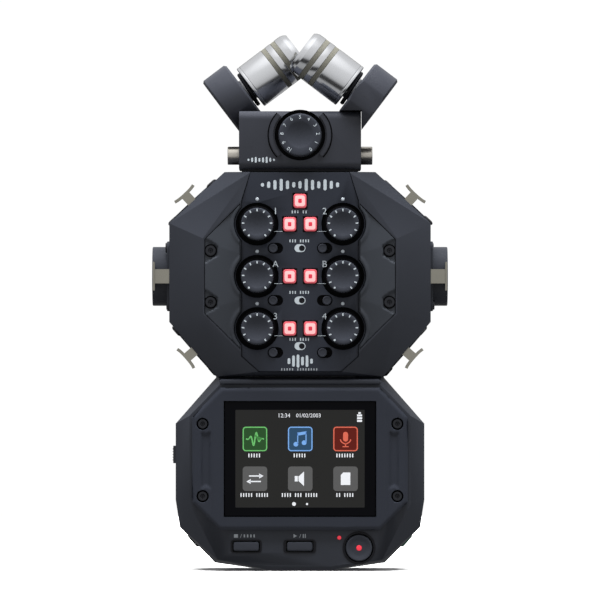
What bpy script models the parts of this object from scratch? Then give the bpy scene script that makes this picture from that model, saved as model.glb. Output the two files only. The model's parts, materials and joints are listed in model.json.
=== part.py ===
# A hand-held multitrack field recorder standing on its flat foot: two case halves around a main
# board, six microphone sockets, a control panel of gain knobs, lit track buttons and pad switches,
# a touch screen, and a plug-in stereo microphone capsule on top.
# Axes: X to the right of the front, Y to the back, Z up. The origin is the middle of the foot.
# All sizes below are in millimetres and are turned into metres as each mesh is made.

import math

import bmesh
import bpy
from mathutils import Matrix, Vector

MM = 0.001

# Clearances
GAP = 0.3  # between pieces that touch or seat in each other
SLIDE_GAP = 0.4  # round a button, shaft or lever that moves in a hole
PAST = 2.0  # how far a cutting shape reaches past the surface that it opens

# Case outline seen from the front, right half, from the top down
TOP_Z = 159.2
TOP_HALF = 30.2
SIDE_HALF = 52.3
SIDE_TOP_Z = 138.7
SIDE_BOTTOM_Z = 99.2
NECK_HALF = 33.3
NECK_Z = 77.4
NECK_OVERLAP = 0.6
LOWER_HALF = 49.8
LOWER_TOP_Z = 58.5
LOWER_BOTTOM_Z = 28.0
HIP_HALF = 48.1
HIP_Z = 17.0
TOE_HALF = 34.0
TOE_Z = 2.8
FOOT_HALF = 13.0

# Case depth: the flat fronts, the start and end of the side walls, and the back
UPPER_FRONT = -20.8
LOWER_FRONT = -17.0
UPPER_WALL_FRONT = -14.5
LOWER_WALL_FRONT = -10.5
FOOT_FRONT = -15.0
WALL_BACK = 16.5
FOOT_BACK = 17.5
BACK = 22.6
WALL = 2.4
BACK_INSET = 8.0
LOWER_FRONT_INSET = 5.6
TOP_FRONT_DROP = 1.3  # how far the front lies back at the top edge

# The flat front of the lower block, which runs down to a narrow chin over the foot
FACE_TOP_MARGIN = 1.5
FACE_SIDE_MARGIN = 0.6
CHIN_HALF = 36.0
CHIN_Z = 15.0
CHIN_BOTTOM_HALF = 33.0
CHIN_BOTTOM_Z = 4.3
FOOT_FACE_HALF = 12.5
FOOT_FACE_Z = 1.5

# Control panel, with its scalloped edge round the knob wells
PANEL_HALF = 23.2
PANEL_TOP_HALF = 19.6
PANEL_BOTTOM_HALF = 16.3
PANEL_SHOULDER_Z = 147.7
PANEL_HIP_Z = 85.6
PANEL_BOTTOM_Z = 79.5
PANEL_FRONT = -19.6
PANEL_THICK = 1.8
PANEL_PLATE = 1.7
KNOB_X = 17.1
KNOB_TOP_Z = 138.3
ROW_PITCH = 20.85
WELL_RADIUS = 8.6
WELL_LIP = 0.4
WELL_DEPTH = 1.2

# Cheek plates either side of the panel
CHEEK_HALF = 38.8
CHEEK_TOP_Z = 132.6
CHEEK_BOTTOM_Z = 102.4
CHEEK_THICK = 1.2
CHEEK_SEAM = 0.6  # the cheek pocket inside the edge of the flat front

# Gain knobs
KNOB_RADIUS = 6.6
KNOB_SKIRT = 7.3
KNOB_SKIRT_HEIGHT = 1.2
KNOB_FRONT = -26.0
KNOB_DISH = 5.2
KNOB_DISH_DEPTH = 0.5
KNOB_DISH_SLOPE = 1.0
KNOB_EDGE = 0.6
SHAFT_RADIUS = 2.6

# Track buttons and pad switches
TRACK_X = 4.15
TRACK_WIDTH = 5.2
TRACK_HEIGHT = 5.6
TRACK_FRONT = -20.4
TRACK_TRAVEL = 0.5
MIC_IN_RISE = 9.3  # the centre button above the top knob row
PAD_X = 9.85
PAD_DROP = 9.6  # a pad switch below its knob row
PAD_SLOT_WIDTH = 6.3
PAD_SLOT_HEIGHT = 4.4
PAD_SLOT_DEPTH = 0.9
PAD_LEVER_RADIUS = 1.85
PAD_LEVER_FRONT = -20.3
PAD_STEM = 1.6
PAD_TRAVEL = 1.8
TRACK_ROUND = 0.7

# Screen
BEZEL_HALF = 43.1
BEZEL_END_HALF = 31.8
BEZEL_TOP_Z = 73.0
BEZEL_BOTTOM_Z = 16.1
BEZEL_SHOULDER_Z = 61.1
BEZEL_HIP_Z = 27.3
BEZEL_THICK = 1.9
GLASS_WIDTH = 60.4
GLASS_HEIGHT = 45.8
GLASS_Z = 44.5
GLASS_THICK = 1.7
DISPLAY_WIDTH = 55.5
DISPLAY_HEIGHT = 42.3
DISPLAY_THICK = 4.3

# Main board
BOARD_FRONT = -11.2
BOARD_THICK = 1.6
BOARD_HALF = 34.0
BOARD_NECK_HALF = 22.0
BOARD_LOWER_HALF = 38.0
BOARD_EDGE = 2.8  # board edge inside the case wall at the top
NECK_CHANNEL_HALF = 24.0
BOARD_CORNER = 8.0
BOARD_HIP_DROP = 6.0
BOARD_NECK_RISE = 7.0
BOARD_NECK_DROP = 6.0
BOARD_FOOT = 4.0
BOARD_FOOT_INSET = 10.0

# Transport buttons
BAR_WIDTH = 10.2
BAR_HEIGHT = 3.6
BAR_Z = 9.5
STOP_X = -21.5
PLAY_X = -0.1
RECORD_X = 23.6
RECORD_Z = 8.9
RECORD_RADIUS = 5.3
BUTTON_FRONT = -18.0
BUTTON_TRAVEL = 0.5
BAR_ROUND = 0.6
RECORD_ROUND = 0.5

# Microphone sockets: four in the corner faces and two standing out of the sides
JACK_Y = 1.6
JACK_RADIUS = 11.84
JACK_BARREL = 10.2
JACK_MOUTH = 9.4
JACK_CORE = 7.5
JACK_DEPTH = 14.0
JACK_FLOOR = 1.6
JACK_LIP = 0.6
JACK_FLANGE = 2.2
JACK_CORE_DROP = 1.5
JACK_EDGE = 0.4
JACK_HOLE_DEPTH = 8.4
JACK_CORE_BASE = 2.0
TOP_JACK_FROM_CORNER = 12.4
BOTTOM_JACK_FROM_CORNER = 15.4
COMBO_RISE = 6.9
COMBO_BORE = 3.3
COMBO_PLATE_HEIGHT = 28.0
COMBO_PLATE_DEPTH = 24.0
COMBO_PLATE_THICK = 1.0
COMBO_PLATE_OVERLAP = 0.5  # the plate reaches this far into the socket wall
COMBO_Z = 117.5

# Socket latches
LATCH_Y = -12.0
LATCH_STEM_DEPTH = 2.4
LATCH_STEM_WIDTH = 4.0
LATCH_PLATE_WIDTH = 10.1
LATCH_PLATE_DEPTH = 4.4
LATCH_HEIGHT = 5.2
LATCH_PLATE_THICK = 0.9
LATCH_ROOT = -5.0
COMBO_LATCH_STEM_WIDTH = 5.7
COMBO_LATCH_WIDTH = 11.6
COMBO_LATCH_HEIGHT = 6.6
COMBO_LATCH_DEPTH = 2.6

# Batteries and their door
CELL_RADIUS = 7.1
CELL_LENGTH = 49.5
CELL_GAP = 0.5
CELL_BOTTOM_Z = 15.5
CELL_NUB_RADIUS = 2.7
CELL_NUB = 1.0
CELL_TO_DOOR = 1.0
DOOR_MARGIN = 1.2
DOOR_THICK = 2.0
HINGE_MARGIN = 1.5  # the extra height of the battery door at its hinge
HINGE_INSET = 1.0  # a door's hinge line from its edge

# Power switch on the left side and card door on the right side
SWITCH_WIDTH = 4.0
SWITCH_HEIGHT = 7.0
SWITCH_Y = -3.0
SWITCH_Z = 46.0
SWITCH_RISE = 1.1
SWITCH_TRAVEL = 4.0
SWITCH_ROOT = 4.0
CARD_DOOR_Y = 9.6
CARD_DOOR_Z = 43.0
CARD_DOOR_DEPTH = 11.0
CARD_DOOR_HEIGHT = 27.0
CARD_DOOR_THICK = 1.6

# Microphone capsule unit
CAPSULE_HALF = 24.4
CAPSULE_DEPTH_HALF = 18.5
CAPSULE_TOP_Z = 183.5
CAPSULE_GAP = 0.5
CAPSULE_WALL = 3.0
CAPSULE_ROUND = 3.0
PLUG_WIDTH = 20.0
PLUG_DEPTH = 8.0
PLUG_LENGTH = 6.0
PLUG_WALL = 2.0
PLUG_Y = 1.6
VOLUME_Z = 173.9
VOLUME_RADIUS = 8.6
VOLUME_WELL = 10.0
VOLUME_WELL_DEPTH = 0.8
VOLUME_HEIGHT = 5.8
VOLUME_DISH = 5.5
VOLUME_EDGE = 0.8
VOLUME_ROOT = 1.5  # how far the shaft reaches inside the housing wall
RELEASE_Z = 166.0
RELEASE_RADIUS = 3.7
RELEASE_OUT = 4.7
RELEASE_LENGTH = 8.0
RELEASE_ROUND = 0.6

# Microphones: two barrels that cross, each on a round-headed arm
MIC_ELEVATION = math.radians(37.0)
MIC_BACK_X = 20.0
MIC_BACK_Z = 193.6
MIC_RADIUS = 9.4
MIC_LENGTH = 24.2
MIC_APART = 0.8
MIC_WALL = 1.1
MIC_PIN_RADIUS = 5.0
MIC_PIVOT_DEPTH = 3.2  # the twist joint behind the barrel's back
MIC_PIN_LENGTH = 4.3
MIC_BACK_THICK = 2.0
MIC_EDGE = 0.5
ELEMENT_LENGTH = 8.0
ELEMENT_DROP = 1.4
ARM_RADIUS = 13.6
ARM_FLAT = 12.8
ARM_THICK = 11.7
ARM_TO_MIC = 2.5
ARM_ROUND = 0.8

# Facets of the round shapes
FINE = 32
MEDIUM = 24
SMALL = 16

BLACK = (0.021, 0.026, 0.036, 1)
CHARCOAL = (0.027, 0.032, 0.043, 1)
KNOB_BLACK = (0.010, 0.012, 0.016, 1)
NICKEL = (0.55, 0.54, 0.48, 1)
SILVER = (0.70, 0.70, 0.69, 1)
RED_LENS = (0.85, 0.16, 0.18, 1)
GLASS_BLACK = (0.004, 0.004, 0.006, 1)
BOARD_GREEN = (0.02, 0.12, 0.05, 1)
CELL_GREY = (0.30, 0.30, 0.32, 1)


def clear_scene():
    for old in list(bpy.data.objects):
        bpy.data.objects.remove(old, do_unlink=True)


def new_collection(name):
    collection = bpy.data.collections.new(name)
    bpy.context.scene.collection.children.link(collection)
    return collection


def make_material(name, colour, roughness, metallic):
    material = bpy.data.materials.new(name)
    material.use_nodes = True
    shader = material.node_tree.nodes["Principled BSDF"]
    shader.inputs["Base Color"].default_value = colour
    shader.inputs["Roughness"].default_value = roughness
    shader.inputs["Metallic"].default_value = metallic
    return material


def add_mesh(name, mesh, where=None):
    """Adds an object in the parts collection, at the given world matrix in metres."""
    obj = bpy.data.objects.new(name, mesh)
    parts.objects.link(obj)
    if where is not None:
        obj.matrix_world = where
    return obj


def mesh_from(name, bm):
    bmesh.ops.recalc_face_normals(bm, faces=bm.faces)
    mesh = bpy.data.meshes.new(name)
    bm.to_mesh(mesh)
    bm.free()
    return mesh


def hull(name, points):
    """The convex solid round the given points."""
    bm = bmesh.new()
    for point in points:
        bm.verts.new(Vector(point) * MM)
    shape = bmesh.ops.convex_hull(bm, input=bm.verts)
    loose = [g for g in shape["geom_interior"] if isinstance(g, bmesh.types.BMVert)]
    bmesh.ops.delete(bm, geom=loose, context="VERTS")
    bmesh.ops.dissolve_limit(bm, angle_limit=0.001, verts=bm.verts, edges=bm.edges)
    return add_mesh(name, mesh_from(name, bm))


def prism(name, outline, front, back):
    """An outline of (x, z) points, carried along Y from front to back."""
    bm = bmesh.new()
    corners = [bm.verts.new((x * MM, front * MM, z * MM)) for x, z in outline]
    face = bm.faces.new(corners)
    made = bmesh.ops.extrude_face_region(bm, geom=[face])["geom"]
    moved = [g for g in made if isinstance(g, bmesh.types.BMVert)]
    bmesh.ops.translate(bm, verts=moved, vec=(0, (back - front) * MM, 0))
    return add_mesh(name, mesh_from(name, bm))


def block(name, low, high, where=None):
    """A box between two corners, in the frame of the given matrix."""
    low, high = Vector(low) * MM, Vector(high) * MM
    bm = bmesh.new()
    bmesh.ops.create_cube(bm, size=1.0)
    bmesh.ops.scale(bm, verts=bm.verts, vec=high - low)
    bmesh.ops.translate(bm, verts=bm.verts, vec=(high + low) / 2)
    return add_mesh(name, mesh_from(name, bm), where)


def drum(name, radius, low, high, steps, where=None):
    """A plain cylinder on the local Z axis."""
    bm = bmesh.new()
    bmesh.ops.create_cone(
        bm, cap_ends=True, segments=steps, radius1=radius * MM, radius2=radius * MM,
        depth=(high - low) * MM, matrix=Matrix.Translation((0, 0, (high + low) / 2 * MM)),
    )
    return add_mesh(name, mesh_from(name, bm), where)


def turned(name, profile, steps, where=None):
    """A profile of (radius, height) points turned round the local Z axis, outer side downwards."""
    bm = bmesh.new()
    points = [bm.verts.new((r * MM, 0, h * MM)) for r, h in profile]
    for first, second in zip(points, points[1:]):
        bm.edges.new((first, second))
    mesh = bpy.data.meshes.new(name)
    bm.to_mesh(mesh)
    bm.free()
    obj = add_mesh(name, mesh, where)
    screw = obj.modifiers.new("turn", "SCREW")
    screw.steps = screw.render_steps = steps
    screw.use_merge_vertices = True
    screw.merge_threshold = 0.00001
    return obj


def combine(target, other, operation):
    """Cuts or joins another object, which then leaves the parts."""
    boolean = target.modifiers.new(operation.lower(), "BOOLEAN")
    boolean.operation = operation
    boolean.object = other
    if other.name in parts.objects:
        parts.objects.unlink(other)
        cutters.objects.link(other)
        other.hide_render = True
        other.display_type = "WIRE"
    return target


def cut(target, *others):
    for other in others:
        combine(target, other, "DIFFERENCE")
    return target


def join(target, *others):
    for other in others:
        combine(target, other, "UNION")
    return target


def bevel(obj, width, segments=1):
    modifier = obj.modifiers.new("bevel", "BEVEL")
    modifier.width = width * MM
    modifier.segments = segments
    modifier.limit_method = "ANGLE"
    modifier.angle_limit = math.radians(50)
    return obj


def finish(obj, material):
    obj.data.materials.append(material)
    return obj


def on_front(x, z, y=0.0):
    """A frame whose Z points out of the front, with X to the right and Y up."""
    return Matrix.Translation((x * MM, y * MM, z * MM)) @ Matrix.Rotation(math.pi / 2, 4, "X")


def on_side(x, z, normal, y=0.0):
    """A frame whose Z is the given (x, z) normal and whose Y is the object's own Y."""
    out = Vector((normal[0], 0, normal[1])).normalized()
    back = Vector((0, 1, 0))
    turn = Matrix((back.cross(out), back, out)).transposed().to_4x4()
    return Matrix.Translation((x * MM, y * MM, z * MM)) @ turn


def both_sides(half):
    """A closed outline from its right half, listed from the top down."""
    return half + [(-x, z) for x, z in reversed(half)]


def moved_in(outline, distance):
    """The outline with each side moved inwards by the distance."""
    count = len(outline)
    result = []
    for i in range(count):
        before, here, after = (Vector(outline[(i + k) % count]) for k in (-1, 0, 1))
        first = (here - before).normalized()
        second = (after - here).normalized()
        inward = Vector((first.y, -first.x)) + Vector((second.y, -second.x))
        inward *= distance / (1 + first.dot(second))
        result.append(tuple(here + inward))
    return result


def at_depth(outline, y):
    return [(x, y, z) for x, z in outline]


UPPER_OUTLINE = both_sides([
    (TOP_HALF, TOP_Z), (SIDE_HALF, SIDE_TOP_Z), (SIDE_HALF, SIDE_BOTTOM_Z), (NECK_HALF, NECK_Z),
])
UPPER_FACE = both_sides([
    (PANEL_HALF, CHEEK_TOP_Z + CHEEK_HALF - PANEL_HALF), (CHEEK_HALF, CHEEK_TOP_Z),
    (CHEEK_HALF, CHEEK_BOTTOM_Z), (PANEL_HALF, CHEEK_BOTTOM_Z - CHEEK_HALF + PANEL_HALF),
    (PANEL_BOTTOM_HALF, PANEL_BOTTOM_Z),
])
LOWER_OUTLINE = both_sides([
    (NECK_HALF - NECK_OVERLAP, NECK_Z + NECK_OVERLAP), (LOWER_HALF, LOWER_TOP_Z),
    (LOWER_HALF, LOWER_BOTTOM_Z), (HIP_HALF, HIP_Z), (TOE_HALF, TOE_Z),
])
LOWER_FACE = both_sides([
    (BEZEL_END_HALF, BEZEL_TOP_Z + FACE_TOP_MARGIN),
    (LOWER_HALF - LOWER_FRONT_INSET, BEZEL_SHOULDER_Z + FACE_SIDE_MARGIN),
    (LOWER_HALF - LOWER_FRONT_INSET, BEZEL_HIP_Z - FACE_SIDE_MARGIN),
    (CHIN_HALF, CHIN_Z), (CHIN_BOTTOM_HALF, CHIN_BOTTOM_Z), (FOOT_FACE_HALF, FOOT_FACE_Z),
])
PANEL_OUTLINE = both_sides([
    (PANEL_TOP_HALF, TOP_Z), (PANEL_HALF, PANEL_SHOULDER_Z), (PANEL_HALF, PANEL_HIP_Z),
    (PANEL_BOTTOM_HALF, PANEL_BOTTOM_Z),
])
ROWS = [KNOB_TOP_Z - ROW_PITCH * i for i in range(3)]
CAVITY_FRONT = UPPER_FRONT + WALL
CHANNELS = [  # track name, side, knob row, which end the pad switch rests at
    ("1", -1, ROWS[0], -1), ("2", 1, ROWS[0], -1), ("a", -1, ROWS[1], -1),
    ("b", 1, ROWS[1], 1), ("3", -1, ROWS[2], -1), ("4", 1, ROWS[2], -1),
]
CELL_PITCH = 2 * CELL_RADIUS + CELL_GAP
CELL_Y = BACK - DOOR_THICK - CELL_TO_DOOR - CELL_RADIUS
DOOR_HALF = 1.5 * CELL_PITCH + CELL_RADIUS + DOOR_MARGIN
DOOR_BOTTOM_Z = CELL_BOTTOM_Z - DOOR_MARGIN - HINGE_MARGIN
DOOR_TOP_Z = CELL_BOTTOM_Z + CELL_LENGTH + CELL_NUB + DOOR_MARGIN
CAPSULE_BOTTOM_Z = TOP_Z + CAPSULE_GAP


def upper_solid(name, inset):
    """The eight-sided upper block, with every face moved in by the inset."""
    outline = moved_in(UPPER_OUTLINE, inset)
    top = [(x, UPPER_FRONT + TOP_FRONT_DROP + inset, TOP_Z - inset)
           for x in (-PANEL_TOP_HALF + inset, PANEL_TOP_HALF - inset)]
    return hull(name, at_depth(moved_in(UPPER_FACE, inset), UPPER_FRONT + inset) + top
                + at_depth(outline, UPPER_WALL_FRONT) + at_depth(outline, WALL_BACK)
                + at_depth(moved_in(UPPER_OUTLINE, BACK_INSET + inset), BACK - inset))


def lower_solid(name, inset):
    """The lower block that holds the screen, standing on the flat foot."""
    outline = moved_in(LOWER_OUTLINE, inset)
    foot = [(x, y, inset) for x in (-FOOT_HALF + inset, FOOT_HALF - inset)
            for y in (FOOT_FRONT + inset, FOOT_BACK - inset)]
    return hull(name, at_depth(moved_in(LOWER_FACE, inset), LOWER_FRONT + inset) + foot
                + at_depth(outline, LOWER_WALL_FRONT) + at_depth(outline, WALL_BACK)
                + at_depth(moved_in(LOWER_OUTLINE, BACK_INSET + inset), BACK - inset))


def panel_footprint(name, grow, front, back):
    """The control panel's outline with its six scallops, as a solid between two depths."""
    shape = prism(name, moved_in(PANEL_OUTLINE, -grow), front, back)
    for i, (_, side, z, _) in enumerate(CHANNELS):
        disc = drum(f"{name}_scallop_{i}", WELL_RADIUS + WELL_LIP + grow, -back, -front, FINE,
                    on_front(side * KNOB_X, z))
        join(shape, disc)
    return shape


def along(start, end, distance):
    start, end = Vector(start), Vector(end)
    return start + (end - start).normalized() * distance


def jack_frames():
    """Socket name, frame on the case wall with Z pointing out, and whether it stands out."""
    frames = []
    for name, side in (("a", -1), ("b", 1)):
        frames.append((f"combo_jack_{name}", on_side(side * SIDE_HALF, COMBO_Z, (side, 0), JACK_Y), True))
    corners = ((TOP_HALF, TOP_Z), (SIDE_HALF, SIDE_TOP_Z), (SIDE_HALF, SIDE_BOTTOM_Z), (NECK_HALF, NECK_Z))
    top = along(corners[1], corners[0], TOP_JACK_FROM_CORNER)
    bottom = along(corners[2], corners[3], BOTTOM_JACK_FROM_CORNER)
    top_face = (corners[0][1] - corners[1][1], corners[1][0] - corners[0][0])
    bottom_face = (corners[2][1] - corners[3][1], corners[3][0] - corners[2][0])
    for number, side, centre, normal in (
        (1, -1, top, top_face), (2, 1, top, top_face),
        (3, -1, bottom, bottom_face), (4, 1, bottom, bottom_face),
    ):
        frame = on_side(side * centre.x, centre.y, (side * normal[0], normal[1]), JACK_Y)
        frames.append((f"xlr_jack_{number}", frame, False))
    return frames


def jack_holes(which):
    """Cutters for the sockets through the case walls."""
    return [drum(f"{which}_{name}_hole", JACK_RADIUS + GAP, -JACK_HOLE_DEPTH, JACK_LIP + PAST, FINE, frame)
            for name, frame, _ in jack_frames()]


def latch_holes():
    holes = []
    for name, frame, stands_out in jack_frames():
        width = COMBO_LATCH_STEM_WIDTH if stands_out else LATCH_STEM_WIDTH
        half = width / 2 + GAP
        half_deep, y = LATCH_STEM_DEPTH / 2 + GAP, LATCH_Y - JACK_Y
        holes.append(block(f"{name}_latch_hole", (-half, y - half_deep, LATCH_ROOT - PAST),
                           (half, y + half_deep, PAST), frame))
    return holes


def neck_channel(name):
    """The way through the neck for the main board and its wires."""
    return block(name, (-NECK_CHANNEL_HALF, UPPER_WALL_FRONT + WALL, NECK_Z - WALL - PAST),
                 (NECK_CHANNEL_HALF, WALL_BACK - WALL, NECK_Z + WALL + PAST))


def plug_hole(name):
    half_wide, half_deep = PLUG_WIDTH / 2 + SLIDE_GAP, PLUG_DEPTH / 2 + SLIDE_GAP
    return block(name, (-half_wide, PLUG_Y - half_deep, TOP_Z - WALL - PAST),
                 (half_wide, PLUG_Y + half_deep, TOP_Z + PAST))


def case_shell(name):
    """Both blocks as one hollow shell."""
    shell = upper_solid(name, 0.0)
    join(shell, lower_solid(f"{name}_lower", 0.0))
    cut(shell, upper_solid(f"{name}_upper_hollow", WALL), lower_solid(f"{name}_lower_hollow", WALL),
        neck_channel(f"{name}_neck"), plug_hole(f"{name}_plug_hole"))
    return shell


def split_block(name, front, back):
    wide = max(SIDE_HALF, LOWER_HALF) + PAST
    return block(name, (-wide, front, -PAST), (wide, back, TOP_Z + PAST))


def cheek_outline(side, inset):
    """The six-sided cheek between the panel and the sloping facets."""
    half = [(PANEL_HALF, CHEEK_TOP_Z + CHEEK_HALF - PANEL_HALF), (CHEEK_HALF, CHEEK_TOP_Z),
            (CHEEK_HALF, CHEEK_BOTTOM_Z), (PANEL_HALF, CHEEK_BOTTOM_Z - CHEEK_HALF + PANEL_HALF)]
    inner = moved_in(half, inset + CHEEK_SEAM)
    return inner if side > 0 else [(-x, z) for x, z in reversed(inner)]


def switch_hole():
    """The slot in the left wall, long enough for the power switch's travel."""
    half, half_high = SWITCH_WIDTH / 2 + SLIDE_GAP, SWITCH_HEIGHT / 2 + SLIDE_GAP
    return block("switch_hole", (-LOWER_HALF - PAST, SWITCH_Y - half, SWITCH_Z - half_high - SWITCH_TRAVEL),
                 (-LOWER_HALF + WALL + PAST, SWITCH_Y + half, SWITCH_Z + half_high))


def make_front_case(material):
    case = case_shell("front_case")
    cut(case, split_block("front_case_split", JACK_Y - GAP / 2, BACK + PAST))
    cut(case, panel_footprint("panel_window", GAP, UPPER_FRONT - PAST, PANEL_FRONT + PANEL_THICK + GAP))
    for side in (-1, 1):
        cut(case, prism(f"cheek_pocket_{side}", cheek_outline(side, 0.0), UPPER_FRONT - PAST,
                        UPPER_FRONT + CHEEK_THICK + GAP))
    half_wide, half_high = DISPLAY_WIDTH / 2 + GAP, DISPLAY_HEIGHT / 2 + GAP
    cut(case, block("display_window", (-half_wide, LOWER_FRONT - PAST, GLASS_Z - half_high),
                    (half_wide, LOWER_FRONT + WALL + PAST, GLASS_Z + half_high)))
    half_wide, half_high = BAR_WIDTH / 2 + SLIDE_GAP, BAR_HEIGHT / 2 + SLIDE_GAP
    for name, x in (("stop", STOP_X), ("play", PLAY_X)):
        cut(case, block(f"{name}_hole", (x - half_wide, LOWER_FRONT - PAST, BAR_Z - half_high),
                        (x + half_wide, BOARD_FRONT, BAR_Z + half_high)))
    cut(case, drum("record_hole", RECORD_RADIUS + SLIDE_GAP, -BOARD_FRONT, PAST - LOWER_FRONT, MEDIUM,
                   on_front(RECORD_X, RECORD_Z)))
    cut(case, switch_hole(), *jack_holes("front"), *latch_holes())
    return finish(case, material)


def make_rear_case(material):
    case = case_shell("rear_case")
    cut(case, split_block("rear_case_split", UPPER_FRONT - PAST, JACK_Y + GAP / 2))
    cut(case, block("door_opening", (-DOOR_HALF - GAP, BACK - WALL - PAST, DOOR_BOTTOM_Z - GAP),
                    (DOOR_HALF + GAP, BACK + PAST, DOOR_TOP_Z + GAP)))
    half_deep, half_high = CARD_DOOR_DEPTH / 2 + GAP, CARD_DOOR_HEIGHT / 2 + GAP
    cut(case, block(
        "card_opening", (LOWER_HALF - WALL - PAST, CARD_DOOR_Y - half_deep, CARD_DOOR_Z - half_high),
        (LOWER_HALF + PAST, CARD_DOOR_Y + half_deep, CARD_DOOR_Z + half_high)))
    cut(case, *jack_holes("rear"))
    return finish(case, material)


def track_places():
    places = [(f"track_button_{name}", side * TRACK_X, z) for name, side, z, _ in CHANNELS]
    return places + [("mic_in_button", 0.0, KNOB_TOP_Z + MIC_IN_RISE)]


def panel_holes(deep):
    """Cutters for the knob wells and shafts, the pad switches and the track buttons."""
    holes = []
    slot, half = (PAD_STEM + PAD_TRAVEL) / 2 + SLIDE_GAP, PAD_STEM / 2 + SLIDE_GAP
    for name, side, z, _ in CHANNELS:
        where = on_front(side * KNOB_X, z)
        front = PAST - PANEL_FRONT
        holes.append(drum(f"well_{name}", WELL_RADIUS, -PANEL_FRONT - WELL_DEPTH, front, FINE, where))
        holes.append(drum(f"shaft_hole_{name}", SHAFT_RADIUS + SLIDE_GAP, -deep, front, SMALL, where))
        x, low = side * PAD_X, z - PAD_DROP
        holes.append(block(
            f"pad_recess_{name}", (x - PAD_SLOT_WIDTH / 2, PANEL_FRONT - PAST, low - PAD_SLOT_HEIGHT / 2),
            (x + PAD_SLOT_WIDTH / 2, PANEL_FRONT + PAD_SLOT_DEPTH, low + PAD_SLOT_HEIGHT / 2)))
        holes.append(block(f"pad_slot_{name}", (x - slot, PANEL_FRONT, low - half),
                           (x + slot, deep, low + half)))
    half_wide, half_high = TRACK_WIDTH / 2 + SLIDE_GAP, TRACK_HEIGHT / 2 + SLIDE_GAP
    for name, x, z in track_places():
        holes.append(block(f"{name}_hole", (x - half_wide, PANEL_FRONT - PAST, z - half_high),
                           (x + half_wide, deep, z + half_high)))
    return holes


def make_control_panel(material):
    """A plate behind the case face, with the scalloped front standing in the window."""
    panel = panel_footprint("control_panel", 0.0, PANEL_FRONT, PANEL_FRONT + PANEL_THICK)
    plate_front = CAVITY_FRONT + GAP
    edge = moved_in(UPPER_FACE, WALL + GAP)
    join(panel, prism("panel_plate", edge, plate_front, plate_front + PANEL_PLATE))
    deep = plate_front + PANEL_PLATE + PAST
    cut(panel, block("panel_top_trim", (-TOP_HALF, PANEL_FRONT - PAST, TOP_Z - GAP),
                     (TOP_HALF, deep, TOP_Z + PAST)))
    cut(panel, *panel_holes(deep))
    return finish(panel, material)


def make_cheek(name, side, material):
    plate = prism(name, cheek_outline(side, GAP), UPPER_FRONT, UPPER_FRONT + CHEEK_THICK)
    cut(plate, panel_footprint(f"{name}_edge", GAP, UPPER_FRONT - PAST, UPPER_FRONT + CHEEK_THICK + PAST))
    return finish(plate, material)


def make_gain_knob(name, x, z, material):
    bottom = -(PANEL_FRONT + WELL_DEPTH - GAP)
    top = -KNOB_FRONT
    profile = [
        (0, top - KNOB_DISH_DEPTH), (KNOB_DISH - KNOB_DISH_SLOPE, top - KNOB_DISH_DEPTH), (KNOB_DISH, top),
        (KNOB_RADIUS - KNOB_EDGE, top), (KNOB_RADIUS, top - KNOB_EDGE),
        (KNOB_RADIUS, bottom + KNOB_SKIRT_HEIGHT),
        (KNOB_SKIRT, bottom + KNOB_SKIRT_HEIGHT), (KNOB_SKIRT, bottom), (SHAFT_RADIUS, bottom),
        (SHAFT_RADIUS, -BOARD_FRONT + GAP), (0, -BOARD_FRONT + GAP),
    ]
    return finish(turned(name, profile, MEDIUM, on_front(x, z)), material)


def make_track_button(name, x, z, material):
    button = block(name, (-TRACK_WIDTH / 2, -TRACK_HEIGHT / 2, -BOARD_FRONT + TRACK_TRAVEL + GAP),
                   (TRACK_WIDTH / 2, TRACK_HEIGHT / 2, -TRACK_FRONT), on_front(x, z))
    return finish(bevel(button, TRACK_ROUND), material)


def make_pad_switch(name, x, z, material):
    floor = PANEL_FRONT + PAD_SLOT_DEPTH - GAP
    lever = drum(name, PAD_LEVER_RADIUS, -floor, -PAD_LEVER_FRONT, SMALL, on_front(x, z))
    join(lever, block(f"{name}_stem", (-PAD_STEM / 2, -PAD_STEM / 2, -BOARD_FRONT + GAP),
                      (PAD_STEM / 2, PAD_STEM / 2, (-floor - PAD_LEVER_FRONT) / 2), on_front(x, z)))
    return finish(lever, material)


def make_bar_button(name, x, material):
    button = block(name, (-BAR_WIDTH / 2, -BAR_HEIGHT / 2, -BOARD_FRONT + BUTTON_TRAVEL + GAP),
                   (BAR_WIDTH / 2, BAR_HEIGHT / 2, -BUTTON_FRONT), on_front(x, BAR_Z))
    return finish(bevel(button, BAR_ROUND), material)


def make_record_button(material):
    back = -BOARD_FRONT + BUTTON_TRAVEL + GAP
    button = drum("record_button", RECORD_RADIUS, back, -BUTTON_FRONT, MEDIUM, on_front(RECORD_X, RECORD_Z))
    return finish(bevel(button, RECORD_ROUND), material)


def make_screen(bezel_material, glass_material, display_material):
    outline = both_sides([(BEZEL_END_HALF, BEZEL_TOP_Z), (BEZEL_HALF, BEZEL_SHOULDER_Z),
                          (BEZEL_HALF, BEZEL_HIP_Z), (BEZEL_END_HALF, BEZEL_BOTTOM_Z)])
    back = LOWER_FRONT - GAP
    bezel = prism("screen_bezel", outline, back - BEZEL_THICK, back)
    half_wide, half_high = GLASS_WIDTH / 2 + GAP, GLASS_HEIGHT / 2 + GAP
    cut(bezel, block("glass_window", (-half_wide, back - BEZEL_THICK - PAST, GLASS_Z - half_high),
                     (half_wide, back + PAST, GLASS_Z + half_high)))
    finish(bezel, bezel_material)
    glass = block("touch_glass", (-GLASS_WIDTH / 2, back - GLASS_THICK, GLASS_Z - GLASS_HEIGHT / 2),
                  (GLASS_WIDTH / 2, back, GLASS_Z + GLASS_HEIGHT / 2))
    finish(glass, glass_material)
    front = LOWER_FRONT + GAP
    display = block("display_module", (-DISPLAY_WIDTH / 2, front, GLASS_Z - DISPLAY_HEIGHT / 2),
                    (DISPLAY_WIDTH / 2, front + DISPLAY_THICK, GLASS_Z + DISPLAY_HEIGHT / 2))
    finish(display, display_material)


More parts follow.
